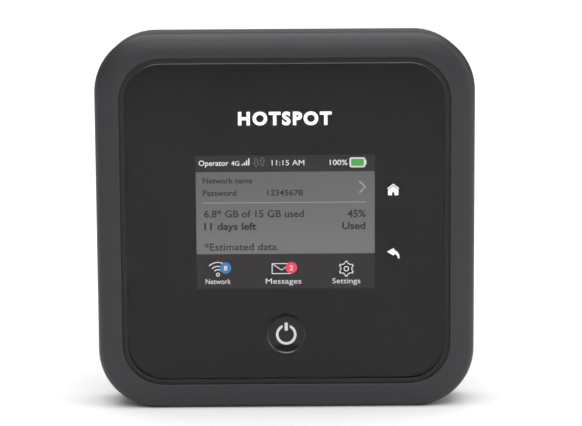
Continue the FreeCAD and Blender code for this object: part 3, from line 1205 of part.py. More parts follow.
# ---------------------------------------------------------------- the assembly
def nodes():
    """Every named piece of the hotspot, as one solid or as a list of like solids."""
    found = {
        "front_bezel": front_bezel(),
        "cover_lens": cover_lens(),
        "lens_print": lens_print(),
        "lens_tape": lens_tape(),
        "display_panel": display_panel(),
        "display_backlight": display_backlight(),
        "display_gasket": display_gasket(),
        "display_flex": display_flex(),
        "flex_connector": flex_connector(),
        "key_guides": key_guides(),
        "key_leds": key_leds(),
        "power_button": power_button(),
        "power_icon": power_icon(),
        "switch_body": switch_body(),
        "switch_stem": switch_stem(),
        "chassis_plate": chassis_plate(),
        "board_spacers": board_spacers(),
        "main_board": main_board(),
        "modem_can": can(MODEM_CAN, BOARD_FRONT - FRONT_CAN_HEIGHT, BOARD_FRONT, True),
        "memory_can": can(MEMORY_CAN, BOARD_FRONT - FRONT_CAN_HEIGHT, BOARD_FRONT, True),
        "radio_can": can(RADIO_CAN, BOARD_BACK, PAD_FRONT, False),
        "power_can": can(POWER_CAN, BOARD_BACK, PAD_FRONT, False),
        "modem_chip": chip(MODEM_CAN, *MODEM_CHIP, False),
        "memory_chip": chip(MEMORY_CAN, *MEMORY_CHIP, False),
        "radio_chip": chip(RADIO_CAN, *RADIO_CHIP, True),
        "power_chip": chip(POWER_CAN, *POWER_CHIP, True),
        "can_pads": can_pads(),
        "heat_spreader": heat_spreader(),
        "sim_socket": sim_socket(),
        "battery_terminal": battery_terminal(),
        "terminal_springs": terminal_springs(),
        "middle_frame": middle_frame(),
        "port_plate": port_plate(),
        "battery_tray": battery_tray(),
        "bay_label": bay_label(),
        "battery_pack": battery_pack(),
        "battery_label": battery_label(),
        "battery_contacts": battery_contacts(),
        "battery_door": battery_door(),
        "door_pad": door_pad(),
        "ethernet_shell": ethernet_shell(),
        "ethernet_insert": ethernet_insert(),
        "ethernet_contacts": ethernet_contacts(),
        "usb_shell": usb_shell(),
        "usb_tongue": usb_tongue(),
        "usb_contacts": usb_contacts(),
        "housing_screws": housing_screws(),
        "thread_inserts": thread_inserts(),
        "board_screws": board_screws(),
    }
    for name, side in (("left", -1), ("right", 1)):
        found[f"antenna_jack_{name}"] = antenna_jack(side)
        found[f"port_cap_{name}"] = port_cap(side)
        found[f"side_carrier_{name}"] = side_carrier(side)
        found[f"top_carrier_{name}"] = top_carrier(side)
    found["antenna_cores"] = [antenna_core(side) for side in (-1, 1)]
    found["antenna_pins"] = [antenna_pin(side) for side in (-1, 1)]
    found["antenna_foils"] = [foil(side) for foil in (side_foil, top_foil) for side in (-1, 1)]
    return found


def main():
    os.makedirs("parts", exist_ok=True)
    for name, made in nodes().items():
        shape = Part.makeCompound(made) if isinstance(made, list) else made
        wrong = [s for s in shape.Solids if not s.isValid() or s.Volume <= 0]
        if wrong or not shape.Solids:
            print(f"{name}: {len(wrong)} of {len(shape.Solids)} solids need repair")
        shape.exportStep(f"parts/{name}.step")
    print(f"body {BODY_WIDTH:g} x {BODY_DEPTH:g} x {BODY_HEIGHT:g} mm")


main()
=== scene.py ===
import math
import bpy
from mathutils import Matrix, Vector


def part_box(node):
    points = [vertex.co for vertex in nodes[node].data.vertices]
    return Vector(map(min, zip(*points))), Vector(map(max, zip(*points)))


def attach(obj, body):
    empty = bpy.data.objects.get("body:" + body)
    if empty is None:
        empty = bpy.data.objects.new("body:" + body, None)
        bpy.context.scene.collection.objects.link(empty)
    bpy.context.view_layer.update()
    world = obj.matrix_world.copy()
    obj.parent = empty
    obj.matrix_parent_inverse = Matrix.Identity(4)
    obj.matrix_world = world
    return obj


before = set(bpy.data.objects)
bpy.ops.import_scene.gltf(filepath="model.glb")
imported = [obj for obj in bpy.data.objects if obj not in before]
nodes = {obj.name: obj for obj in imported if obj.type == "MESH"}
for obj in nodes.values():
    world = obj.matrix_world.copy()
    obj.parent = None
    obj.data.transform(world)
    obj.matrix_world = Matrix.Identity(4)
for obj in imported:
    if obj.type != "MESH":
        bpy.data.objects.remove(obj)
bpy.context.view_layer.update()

# ---------------------------------------------------------------- front bezel
# The frame round the lens: dark grey polycarbonate blend, moulded in one shot and left with
# the satin grain of the spark-eroded mould. It laps into the middle frame and is screwed from behind.
BEZEL_COLOR = (0.0155, 0.0152, 0.0190, 1)
BEZEL_ROUGHNESS = 0.42
BEZEL_GRAIN = 5200.0        # grains per metre
BEZEL_DEPTH = 0.9e-6        # height of the grain, in metres
FINE_DETAIL = 3.0
BROAD_DETAIL = 4.0
BROAD_SHARE = 0.02          # scale of the slow changes, as a share of the grain's


def node_group(name, inputs, outputs):
    """An empty shader node group; returns it with its nodes, its links and its two ends."""
    group = bpy.data.node_groups.new(name, "ShaderNodeTree")
    for label, kind in inputs:
        group.interface.new_socket(label, in_out="INPUT", socket_type="NodeSocket" + kind)
    for label, kind in outputs:
        group.interface.new_socket(label, in_out="OUTPUT", socket_type="NodeSocket" + kind)
    entry = group.nodes.new("NodeGroupInput")
    leave = group.nodes.new("NodeGroupOutput")
    return group, group.nodes, group.links, entry, leave


def math_node(n, operation, *values):
    """A Math node with its plain inputs set; None leaves one to be linked."""
    node = n.new("ShaderNodeMath")
    node.operation = operation
    for k, value in enumerate(values):
        if value is not None:
            node.inputs[k].default_value = value
    return node


def vector_node(n, operation):
    """A Vector Math node."""
    node = n.new("ShaderNodeVectorMath")
    node.operation = operation
    return node


def surface_grain():
    """Fine grain for the height, and broad slow changes of tone and roughness."""
    group, n, link, entry, leave = node_group(
        "surface_grain",
        (("Place", "Vector"), ("Stretch", "Vector"), ("Color", "Color"), ("Grain", "Float"),
         ("Tone", "Float"), ("Roughness", "Float"), ("Spread", "Float")),
        (("Color", "Color"), ("Roughness", "Float"), ("Height", "Float")))
    drawn = vector_node(n, "MULTIPLY")
    fine = n.new("ShaderNodeTexNoise")
    fine.inputs["Detail"].default_value = FINE_DETAIL
    wide = math_node(n, "MULTIPLY", None, BROAD_SHARE)
    broad = n.new("ShaderNodeTexNoise")
    broad.inputs["Detail"].default_value = BROAD_DETAIL
    both = math_node(n, "ADD")
    swing = math_node(n, "SUBTRACT", None, 1.0)
    gain = math_node(n, "MULTIPLY_ADD", None, None, 1.0)
    tint = vector_node(n, "SCALE")
    rough = math_node(n, "MULTIPLY_ADD")
    link.new(entry.outputs["Place"], drawn.inputs[0])
    link.new(entry.outputs["Stretch"], drawn.inputs[1])
    link.new(drawn.outputs[0], fine.inputs["Vector"])
    link.new(entry.outputs["Grain"], fine.inputs["Scale"])
    link.new(entry.outputs["Grain"], wide.inputs[0])
    link.new(drawn.outputs[0], broad.inputs["Vector"])
    link.new(wide.outputs[0], broad.inputs["Scale"])
    link.new(fine.outputs["Fac"], both.inputs[0])
    link.new(broad.outputs["Fac"], both.inputs[1])
    link.new(both.outputs[0], swing.inputs[0])
    link.new(swing.outputs[0], gain.inputs[0])
    link.new(entry.outputs["Tone"], gain.inputs[1])
    link.new(entry.outputs["Color"], tint.inputs[0])
    link.new(gain.outputs[0], tint.inputs["Scale"])
    link.new(swing.outputs[0], rough.inputs[0])
    link.new(entry.outputs["Spread"], rough.inputs[1])
    link.new(entry.outputs["Roughness"], rough.inputs[2])
    link.new(tint.outputs[0], leave.inputs["Color"])
    link.new(rough.outputs[0], leave.inputs["Roughness"])
    link.new(fine.outputs["Fac"], leave.inputs["Height"])
    return group


grain_group = surface_grain()


def new_material(name):
    """An empty node material; returns it with its nodes, its links and its output."""
    material = bpy.data.materials.new(name)
    material.use_nodes = True
    tree = material.node_tree
    tree.nodes.clear()
    return material, tree.nodes, tree.links, tree.nodes.new("ShaderNodeOutputMaterial")


def grained(name, color, roughness, grain, depth, tone=0.08, spread=0.08, stretch=(1, 1, 1),
            metallic=0.0, specular=0.5, coat=0.0):
    """A finish with grain in its height, tone and roughness; returns it, its nodes, links and shader."""
    material, n, link, out = new_material(name)
    shader = n.new("ShaderNodeBsdfPrincipled")
    shader.inputs["Metallic"].default_value = metallic
    shader.inputs["Specular IOR Level"].default_value = specular
    shader.inputs["Coat Weight"].default_value = coat
    place = n.new("ShaderNodeTexCoord")
    made = n.new("ShaderNodeGroup")
    made.node_tree = grain_group
    made.inputs["Stretch"].default_value = stretch
    made.inputs["Color"].default_value = color
    made.inputs["Grain"].default_value = grain
    made.inputs["Tone"].default_value = tone
    made.inputs["Roughness"].default_value = roughness
    made.inputs["Spread"].default_value = spread
    bump = n.new("ShaderNodeBump")
    bump.inputs["Distance"].default_value = depth
    link.new(place.outputs["Object"], made.inputs["Place"])
    link.new(made.outputs["Color"], shader.inputs["Base Color"])
    link.new(made.outputs["Roughness"], shader.inputs["Roughness"])
    link.new(made.outputs["Height"], bump.inputs["Height"])
    link.new(bump.outputs["Normal"], shader.inputs["Normal"])
    link.new(shader.outputs["BSDF"], out.inputs["Surface"])
    return material, n, link, shader


def dress(material, *names):
    """These CAD nodes take the material."""
    for name in names:
        piece = nodes[name]
        if not piece.material_slots:
            piece.data.materials.append(material)
        for slot in piece.material_slots:
            slot.material = material


bezel_satin = grained("bezel_satin", BEZEL_COLOR, BEZEL_ROUGHNESS, BEZEL_GRAIN, BEZEL_DEPTH)[0]
dress(bezel_satin, "front_bezel")

# ---------------------------------------------------------------- middle frame, port plate, tray and door
# The side wall, the plate round the lower jacks, the deck with the battery bay and the clip-on
# back: the same blend as the bezel from a slightly coarser mould, darker and a little duller.
SHELL_COLOR = (0.0170, 0.0170, 0.0190, 1)
SHELL_ROUGHNESS = 0.46
SHELL_GRAIN = 3600.0
SHELL_DEPTH = 1.6e-6

shell_satin = grained("shell_satin", SHELL_COLOR, SHELL_ROUGHNESS, SHELL_GRAIN, SHELL_DEPTH)[0]
dress(shell_satin, "middle_frame", "port_plate", "battery_tray", "battery_door")

# ---------------------------------------------------------------- screws, inserts and spacers
# Blackened steel machine screws with hexagon sockets, brass inserts set into the bezel's
# bosses, and turned brass spacers between the chassis and the board.
SCREW_COLOR = (0.055, 0.055, 0.060, 1)
BRASS_COLOR = (0.62, 0.42, 0.16, 1)
TURNED_GRAIN = 9000.0
TURNED_STRETCH = (1, 12, 1)  # lathe marks run round the screw, across its length

blackened_steel = grained("blackened_steel", SCREW_COLOR, 0.34, TURNED_GRAIN, 1.2e-6, tone=0.2,
                          spread=0.15, stretch=TURNED_STRETCH, metallic=1.0)[0]
turned_brass = grained("turned_brass", BRASS_COLOR, 0.28, TURNED_GRAIN, 1.0e-6, tone=0.15,
                       spread=0.12, stretch=TURNED_STRETCH, metallic=1.0)[0]
dress(blackened_steel, "housing_screws", "board_screws")
dress(turned_brass, "board_spacers", "thread_inserts")

# ---------------------------------------------------------------- chassis plate and heat spreader
# A die-cast magnesium plate, bead blasted, that carries the display and the board, and a rolled
# aluminium sheet that takes the heat of the rear cans to the bay's floor.
CAST_COLOR = (0.42, 0.42, 0.43, 1)
ROLLED_COLOR = (0.66, 0.66, 0.67, 1)

blasted_casting = grained("blasted_casting", CAST_COLOR, 0.52, 2600.0, 6.0e-6, tone=0.16, spread=0.1,
                          metallic=1.0)[0]
rolled_aluminium = grained("rolled_aluminium", ROLLED_COLOR, 0.33, 900.0, 1.5e-6, tone=0.12, spread=0.12,
                           stretch=(18, 1, 1), metallic=1.0)[0]
dress(blasted_casting, "chassis_plate")
dress(rolled_aluminium, "heat_spreader")

# ---------------------------------------------------------------- circuit board and what is on it
# Eight-layer board under green solder mask, with tinned shielding cans pressed from sheet, epoxy
# chip packages, soft thermal pads and an ivory nylon connector for the display's cable.
MASK_COLOR = (0.008, 0.075, 0.030, 1)
MASK_ROUGHNESS = 0.30
MASK_GRAIN = 3000.0
MASK_DEPTH = 1.0e-6
MASK_COAT = 0.3
TRACK_COLOR = (0.020, 0.130, 0.055, 1)
VIA_COLOR = (0.55, 0.40, 0.16, 1)
TRACK_PITCH = 900.0          # cells of the track pattern per metre
TRACK_WIDTH = 0.10           # share of a cell
VIA_RADIUS = 0.13
RASTER_SLACK = 0.35          # how far the cells stray from their raster
TIN_COLOR = (0.60, 0.60, 0.58, 1)
EPOXY_COLOR = (0.018, 0.018, 0.020, 1)
PAD_COLOR = (0.28, 0.38, 0.55, 1)
NYLON_COLOR = (0.66, 0.62, 0.53, 1)


def color_mix(n, low=None, high=None):
    """A Mix node for colours: its share is input 0, its colours are inputs 6 and 7 and output 2."""
    node = n.new("ShaderNodeMix")
    node.data_type = "RGBA"
    if low:
        node.inputs[6].default_value = low
    if high:
        node.inputs[7].default_value = high
    return node


def solder_mask():
    """Green mask over copper tracks on a square raster, with gilded vias where they meet."""
    material, n, link, shader = grained("solder_mask", MASK_COLOR, MASK_ROUGHNESS, MASK_GRAIN, MASK_DEPTH,
                                        coat=MASK_COAT)
    place = n.new("ShaderNodeTexCoord")
    cells = n.new("ShaderNodeTexVoronoi")
    cells.feature = "DISTANCE_TO_EDGE"
    cells.inputs["Scale"].default_value = TRACK_PITCH
    cells.inputs["Randomness"].default_value = RASTER_SLACK
    track = math_node(n, "LESS_THAN", None, TRACK_WIDTH)
    dots = n.new("ShaderNodeTexVoronoi")
    dots.inputs["Scale"].default_value = TRACK_PITCH / 2
    dots.inputs["Randomness"].default_value = RASTER_SLACK
    via = math_node(n, "LESS_THAN", None, VIA_RADIUS)
    copper = color_mix(n, high=TRACK_COLOR)
    gilt = color_mix(n, high=VIA_COLOR)
    old = shader.inputs["Base Color"].links[0].from_socket
    link.new(place.outputs["Object"], cells.inputs["Vector"])
    link.new(place.outputs["Object"], dots.inputs["Vector"])
    link.new(cells.outputs["Distance"], track.inputs[0])
    link.new(dots.outputs["Distance"], via.inputs[0])
    link.new(track.outputs[0], copper.inputs[0])
    link.new(old, copper.inputs[6])
    link.new(via.outputs[0], gilt.inputs[0])
    link.new(copper.outputs[2], gilt.inputs[6])
    link.new(gilt.outputs[2], shader.inputs["Base Color"])
    return material


dress(solder_mask(), "main_board")
tinned_sheet = grained("tinned_sheet", TIN_COLOR, 0.30, 1400.0, 1.5e-6, tone=0.14, spread=0.16,
                       stretch=(1, 1, 14), metallic=1.0)[0]
dress(tinned_sheet, "modem_can", "memory_can", "radio_can", "power_can", "sim_socket")
dress(grained("chip_epoxy", EPOXY_COLOR, 0.55, 7000.0, 2.0e-6)[0],
      "modem_chip", "memory_chip", "radio_chip", "power_chip")
dress(grained("thermal_pad", PAD_COLOR, 0.75, 2500.0, 8.0e-6, tone=0.12)[0], "can_pads")
nylon = grained("ivory_nylon", NYLON_COLOR, 0.48, 3500.0, 1.5e-6, tone=0.06)[0]
dress(nylon, "flex_connector", "battery_terminal")

# ---------------------------------------------------------------- display module
# A 2.4-inch colour liquid-crystal module: glass in front of a backlight in its folded steel tray,
# foam seal round the window, and an amber polyimide cable folded back to the board.
SCREEN_WIDTH = 0.0494
SCREEN_HEIGHT = 0.0373
PANEL_LOW, PANEL_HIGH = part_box("display_panel")
SCREEN_Z = (PANEL_LOW[2] + PANEL_HIGH[2]) / 2
SCREEN_TOP = SCREEN_Z + SCREEN_HEIGHT / 2
SCREEN_FACE = PANEL_LOW[1]
STATUS_DEPTH = 0.00462       # height of the dark bar along the top
MENU_START = 0.02753         # distance from the top to the dark bar along the bottom
BAR_GLOW = (0.0205, 0.0172, 0.0186, 1)
PAGE_GLOW_TOP = (0.113, 0.112, 0.111, 1)
PAGE_GLOW_LOW = (0.169, 0.167, 0.165, 1)
CELL_PITCH = SCREEN_WIDTH / 320
CELL_GAP = 0.16              # share of a cell that is black matrix
CELL_DEPTH = 0.03            # how much darker that matrix is
UNLIT_SHARE = 0.02           # colour of the picture itself, as a share of its glow
STEEL_COLOR = (0.52, 0.52, 0.53, 1)
FLEX_COLOR = (0.30, 0.115, 0.020, 1)
FOAM_COLOR = (0.012, 0.012, 0.012, 1)
GLASS_ROUGHNESS = 0.02       # polish of the bonded stack, seen on every layer of it
GLASS_SPECULAR = 0.29


def cell_grid():
    """Dims a colour along the black matrix between the liquid-crystal cells."""
    group, n, link, entry, leave = node_group("cell_grid", (("Place", "Vector"), ("Color", "Color")),
                                              (("Color", "Color"),))
    split = n.new("ShaderNodeSeparateXYZ")
    link.new(entry.outputs["Place"], split.inputs[0])
    marks = []
    for axis in ("X", "Z"):
        count = math_node(n, "DIVIDE", None, CELL_PITCH)
        part = math_node(n, "FRACT")
        gap = math_node(n, "LESS_THAN", None, CELL_GAP)
        link.new(split.outputs[axis], count.inputs[0])
        link.new(count.outputs[0], part.inputs[0])
        link.new(part.outputs[0], gap.inputs[0])
        marks.append(gap)
    either = math_node(n, "MAXIMUM")
    dim = math_node(n, "MULTIPLY_ADD", None, -CELL_DEPTH, 1.0)
    tint = vector_node(n, "SCALE")
    link.new(marks[0].outputs[0], either.inputs[0])
    link.new(marks[1].outputs[0], either.inputs[1])
    link.new(either.outputs[0], dim.inputs[0])
    link.new(entry.outputs["Color"], tint.inputs[0])
    link.new(dim.outputs[0], tint.inputs["Scale"])
    link.new(tint.outputs[0], leave.inputs["Color"])
    return group


cell_group = cell_grid()


def backlit(name):
    """A layer lit from behind through the cells; returns it with its nodes, for a colour to be linked."""
    material, n, link, out = new_material(name)
    shader = n.new("ShaderNodeBsdfPrincipled")
    shader.inputs["Roughness"].default_value = GLASS_ROUGHNESS
    shader.inputs["Specular IOR Level"].default_value = GLASS_SPECULAR
    shader.inputs["Emission Strength"].default_value = 1.0
    place = n.new("ShaderNodeTexCoord")
    cells = n.new("ShaderNodeGroup")
    cells.node_tree = cell_group
    dark = vector_node(n, "SCALE")
    dark.inputs["Scale"].default_value = UNLIT_SHARE
    link.new(place.outputs["Object"], cells.inputs["Place"])
    link.new(cells.outputs["Color"], dark.inputs[0])
    link.new(dark.outputs[0], shader.inputs["Base Color"])
    link.new(shader.outputs["BSDF"], out.inputs["Surface"])
    return material, n, link, shader, place, cells


def lit_screen():
    """The picture's ground: a grey page that brightens downwards, between two dark bars."""
    material, n, link, shader, place, cells = backlit("lit_screen")
    split = n.new("ShaderNodeSeparateXYZ")
    across = math_node(n, "COMPARE", None, 0.0, SCREEN_WIDTH / 2)
    up = math_node(n, "COMPARE", None, SCREEN_Z, SCREEN_HEIGHT / 2)
    lit = math_node(n, "MULTIPLY")
    status = math_node(n, "GREATER_THAN", None, SCREEN_TOP - STATUS_DEPTH)
    menu = math_node(n, "LESS_THAN", None, SCREEN_TOP - MENU_START)
    bars = math_node(n, "MAXIMUM")
    fall = n.new("ShaderNodeMapRange")
    fall.inputs["From Min"].default_value = SCREEN_TOP
    fall.inputs["From Max"].default_value = SCREEN_TOP - MENU_START
    page = color_mix(n, PAGE_GLOW_TOP, PAGE_GLOW_LOW)
    ground = color_mix(n, high=BAR_GLOW)
    glow = vector_node(n, "SCALE")
    link.new(place.outputs["Object"], split.inputs[0])
    link.new(split.outputs["X"], across.inputs[0])
    link.new(split.outputs["Z"], up.inputs[0])
    link.new(across.outputs[0], lit.inputs[0])
    link.new(up.outputs[0], lit.inputs[1])
    link.new(split.outputs["Z"], status.inputs[0])
    link.new(split.outputs["Z"], menu.inputs[0])
    link.new(status.outputs[0], bars.inputs[0])
    link.new(menu.outputs[0], bars.inputs[1])
    link.new(split.outputs["Z"], fall.inputs["Value"])
    link.new(fall.outputs["Result"], page.inputs[0])
    link.new(bars.outputs[0], ground.inputs[0])
    link.new(page.outputs[2], ground.inputs[6])
    link.new(ground.outputs[2], cells.inputs["Color"])
    link.new(cells.outputs["Color"], glow.inputs[0])
    link.new(lit.outputs[0], glow.inputs["Scale"])
    link.new(glow.outputs[0], shader.inputs["Emission Color"])
    return material


dress(lit_screen(), "display_panel")
folded_steel = grained("folded_steel", STEEL_COLOR, 0.32, 1600.0, 1.2e-6, tone=0.12, spread=0.12,
                       stretch=(1, 1, 16), metallic=1.0)[0]
black_foam = grained("black_foam", FOAM_COLOR, 0.85, 1800.0, 2.5e-5, tone=0.3)[0]
dress(folded_steel, "display_backlight")
dress(black_foam, "display_gasket", "lens_tape", "door_pad")
dress(grained("amber_film", FLEX_COLOR, 0.30, 1200.0, 1.0e-6, tone=0.18, stretch=(1, 6, 6))[0],
      "display_flex")

# ---------------------------------------------------------------- picture on the display
# What the display shows: lettering and signs that the liquid crystal draws. Each is a thin lit film
# on the glass, in the air gap behind the lens print. Places are millimetres from the lit area's
# upper left corner, across and down.
MM = 0.001
FILM = 0.008                 # thickness of a drawn film, mm
TEXT_GAP = 0.012             # mm in front of the glass
BADGE_GAP = 0.030
DIGIT_GAP = 0.048
CAP_SHARE = 0.729            # height of a capital in the lettering's own size
CURVE_STEPS = 3
STROKE_LAP = 0.6             # how far a stroke runs on past its two ends together, in widths
PLATE_STEPS = 4
LOBE_SHARE = 0.21            # half of a lobe, as a share of the pitch of the lobes
WELD = 1e-5
WHITE_GLOW = (0.74, 0.74, 0.74, 1)
DIM_GLOW = (0.170, 0.165, 0.166, 1)
DARK_GLOW = (0.026, 0.0235, 0.0245, 1)
RULE_GLOW = (0.265, 0.265, 0.265, 1)
SIGN_GLOW = (0.32, 0.32, 0.32, 1)
SHADE_GLOW = (0.004, 0.004, 0.004, 1)
GREEN_GLOW = (0.062, 0.385, 0.070, 1)
BLUE_GLOW = (0.038, 0.200, 0.480, 1)
RED_GLOW = (0.800, 0.062, 0.110, 1)


def glowing(name, color):
    """A colour that the backlight shows through the liquid-crystal cells."""
    material, _, link, shader, _, cells = backlit(name)
    cells.inputs["Color"].default_value = color
    link.new(cells.outputs["Color"], shader.inputs["Emission Color"])
    return material


def deselect():
    """Nothing is selected, and no object is in edit mode."""
    if bpy.context.object and bpy.context.object.mode != "OBJECT":
        bpy.ops.object.mode_set(mode="OBJECT")
    bpy.ops.object.select_all(action="DESELECT")


def edit_all(piece):
    """The piece alone in edit mode, all of it selected."""
    deselect()
    piece.select_set(True)
    bpy.context.view_layer.objects.active = piece
    bpy.ops.object.mode_set(mode="EDIT")
    bpy.ops.mesh.select_all(action="SELECT")


def lettering(words, x, down, cap, width, weight=0.0, align="LEFT"):
    """Words as a mesh from, about or up to x, on a baseline at down, their strokes weight heavier."""
    deselect()
    bpy.ops.object.text_add(location=(0, 0, 0))
    text = bpy.context.object
    text.data.body = words
    text.data.size = cap / CAP_SHARE
    text.data.resolution_u = CURVE_STEPS
    sharp = "M" in words     # too narrow at its corners for an offset: such words are drawn twice
    text.data.offset = 0.0 if sharp else weight
    bpy.ops.object.convert(target="MESH")
    drawn = bpy.context.object
    if sharp and weight:
        edit_all(drawn)
        bpy.ops.mesh.duplicate_move(TRANSFORM_OT_translate={"value": (weight, 0, 0)})
        bpy.ops.object.mode_set(mode="OBJECT")
    low = min(v.co.x for v in drawn.data.vertices)
    high = max(v.co.x for v in drawn.data.vertices)
    share = width / (high - low)
    start = {"LEFT": x, "CENTER": x - width / 2, "RIGHT": x - width}[align]
    drawn.scale = (share, 1, 1)
    drawn.location = (start - low * share, -down, 0)
    return drawn


def bar(start, end, width):
    """A straight stroke between two places."""
    run = Vector((end[0] - start[0], start[1] - end[1]))
    middle = ((start[0] + end[0]) / 2, -(start[1] + end[1]) / 2, 0)
    deselect()
    bpy.ops.mesh.primitive_plane_add(size=1, location=middle, rotation=(0, 0, math.atan2(run.y, run.x)))
    drawn = bpy.context.object
    drawn.scale = (run.length + width * STROKE_LAP, width, 1)
    edit_all(drawn)
    bpy.ops.mesh.subdivide(number_cuts=1)
    bpy.ops.object.mode_set(mode="OBJECT")
    return drawn


def plate(x0, x1, down0, down1, radius):
    """A filled rectangle with round corners."""
    deselect()
    bpy.ops.mesh.primitive_plane_add(size=1, location=((x0 + x1) / 2, -(down0 + down1) / 2, 0))
    drawn = bpy.context.object
    drawn.scale = (x1 - x0, down1 - down0, 1)
    bpy.ops.object.transform_apply(location=True, rotation=True, scale=True)
    edit_all(drawn)
    bpy.ops.mesh.bevel(offset=radius, segments=PLATE_STEPS, affect="VERTICES")
    bpy.ops.object.mode_set(mode="OBJECT")
    return drawn


def disc(x, down, radius, sides=32):
    """A filled circle."""
    deselect()
    bpy.ops.mesh.primitive_circle_add(vertices=sides, radius=radius, fill_type="TRIFAN",
                                      location=(x, -down, 0))
    return bpy.context.object


def ring(x, down, radius, width, reach=180.0, lobes=0, lift=1.0, sides=48):
    """A circular stroke, kept within reach degrees of its top, with its lobes lifted outwards."""
    deselect()
    bpy.ops.mesh.primitive_circle_add(vertices=sides, radius=radius - width / 2, fill_type="NOTHING",
                                      location=(0, 0, 0))
    drawn = bpy.context.object
    edit_all(drawn)
    bpy.ops.mesh.extrude_edges_move()
    wider = (radius + width / 2) / (radius - width / 2)
    bpy.ops.transform.resize(value=(wider, wider, 1), center_override=(0, 0, 0))
    bpy.ops.mesh.select_all(action="DESELECT")
    bpy.ops.object.mode_set(mode="OBJECT")
    if lobes:
        pitch = 360.0 / lobes
        for vertex in drawn.data.vertices:
            turn = math.degrees(math.atan2(vertex.co.y, vertex.co.x)) - 90.0
            vertex.select = abs((turn + pitch / 2) % pitch - pitch / 2) < pitch * LOBE_SHARE
        bpy.ops.object.mode_set(mode="EDIT")
        bpy.ops.transform.resize(value=(lift, lift, 1), center_override=(0, 0, 0))
        bpy.ops.object.mode_set(mode="OBJECT")
    if reach < 180.0:
        for face in drawn.data.polygons:
            turn = math.degrees(math.atan2(face.center.x, face.center.y))
            face.select = abs(turn) > reach
        bpy.ops.object.mode_set(mode="EDIT")
        bpy.ops.mesh.select_mode(type="FACE")
        bpy.ops.mesh.delete(type="FACE")
        bpy.ops.mesh.select_mode(type="VERT")
        bpy.ops.object.mode_set(mode="OBJECT")
    drawn.location = (x, -down, 0)
    return drawn


def thicken(piece, thickness, offset):
    """The piece's sheet gets its thickness."""
    bpy.ops.object.mode_set(mode="OBJECT")
    wall = piece.modifiers.new("wall", "SOLIDIFY")
    wall.thickness = thickness
    wall.offset = offset
    bpy.ops.object.modifier_apply(modifier="wall")


def film(name, shapes, gap, material):
    """The shapes become one closed film in front of the display's glass, and ride on the housing."""
    deselect()
    for shape in shapes:
        shape.select_set(True)
    bpy.context.view_layer.objects.active = shapes[0]
    bpy.ops.object.transform_apply(location=True, rotation=True, scale=True)
    if len(shapes) > 1:
        bpy.ops.object.join()
    piece = bpy.context.object
    piece.name = name
    edit_all(piece)
    bpy.ops.mesh.remove_doubles(threshold=WELD)
    bpy.ops.mesh.normals_make_consistent(inside=False)
    bpy.ops.object.mode_set(mode="OBJECT")
    if piece.data.polygons[0].normal.z < 0:
        edit_all(piece)
        bpy.ops.mesh.flip_normals()
        bpy.ops.object.mode_set(mode="OBJECT")
    thicken(piece, FILM, 0.0)
    piece.rotation_euler = (math.pi / 2, 0, 0)
    piece.scale = (MM, MM, MM)
    piece.location = (-SCREEN_WIDTH / 2, SCREEN_FACE - gap * MM, SCREEN_TOP)
    bpy.ops.object.transform_apply(location=True, rotation=True, scale=True)
    piece.data.materials.clear()
    piece.data.materials.append(material)
    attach(piece, "housing")


white_glow = glowing("white_glow", WHITE_GLOW)
dark_glow = glowing("dark_glow", DARK_GLOW)

# status line
film("status_words", [
    lettering("Operator", 0.85, 2.85, 1.55, 8.25, 0.030),
    lettering("4G", 9.80, 2.85, 1.33, 2.30, 0.020),
    lettering("11:15 AM", 21.00, 2.85, 1.55, 9.00, 0.02),
    lettering("100%", 41.90, 2.85, 1.55, 4.90, 0.020, "RIGHT")], TEXT_GAP, white_glow)
SIGNAL = ((12.70, 0.40), (13.30, 0.80), (13.90, 1.35), (14.50, 1.95))
film("signal_bars", [plate(x, x + 0.38, 2.80 - tall, 2.80, 0.04) for x, tall in SIGNAL],
     TEXT_GAP, white_glow)
DOWN_ARROW = ((16.35, 0.95), (17.05, 0.95), (17.05, 2.30), (17.46, 2.30), (16.70, 3.25), (15.94, 2.30),
              (16.35, 2.30))
UP_ARROW = ((18.05, 2.95), (18.75, 2.95), (18.75, 1.55), (19.16, 1.55), (18.40, 0.60), (17.64, 1.55),
            (18.05, 1.55))
film("traffic_arrows", [bar(points[k - 1], points[k], 0.14) for points in (DOWN_ARROW, UP_ARROW)
                        for k in range(len(points))], TEXT_GAP, glowing("dim_glow", DIM_GLOW))
film("charge_sign", [plate(42.45, 46.80, 0.75, 3.53, 0.55), plate(46.70, 47.10, 1.45, 2.80, 0.15)],
     TEXT_GAP, white_glow)
film("charge_level", [plate(42.88, 46.42, 1.16, 3.12, 0.15)],
     BADGE_GAP, glowing("green_glow", GREEN_GLOW))

# page
film("page_words", [
    lettering("Network name", 1.95, 7.75, 1.62, 13.6, 0.045),
    lettering("Password", 1.95, 11.20, 1.62, 9.2, 0.045),
    lettering("12345678", 19.70, 11.20, 1.60, 9.85, 0.040),
    lettering("6.8* GB of 15 GB used", 2.20, 17.25, 2.05, 27.6, 0.040),
    lettering("11 days left", 2.20, 20.70, 2.02, 14.45, 0.075),
    lettering("45%", 46.90, 17.35, 2.05, 5.10, 0.060, "RIGHT"),
    lettering("Used", 46.80, 20.70, 2.02, 6.40, 0.075, "RIGHT"),
    lettering("*Estimated data.", 2.20, 26.50, 2.05, 20.6, 0.030)], TEXT_GAP, dark_glow)
film("page_rule", [bar((2.0, 13.2), (47.0, 13.2), 0.28)], TEXT_GAP, glowing("rule_glow", RULE_GLOW))
film("page_chevron", [bar((45.20, 7.40), (46.80, 8.95), 0.40), bar((46.80, 8.95), (45.25, 10.50), 0.40)],
     TEXT_GAP, glowing("sign_glow", SIGN_GLOW))

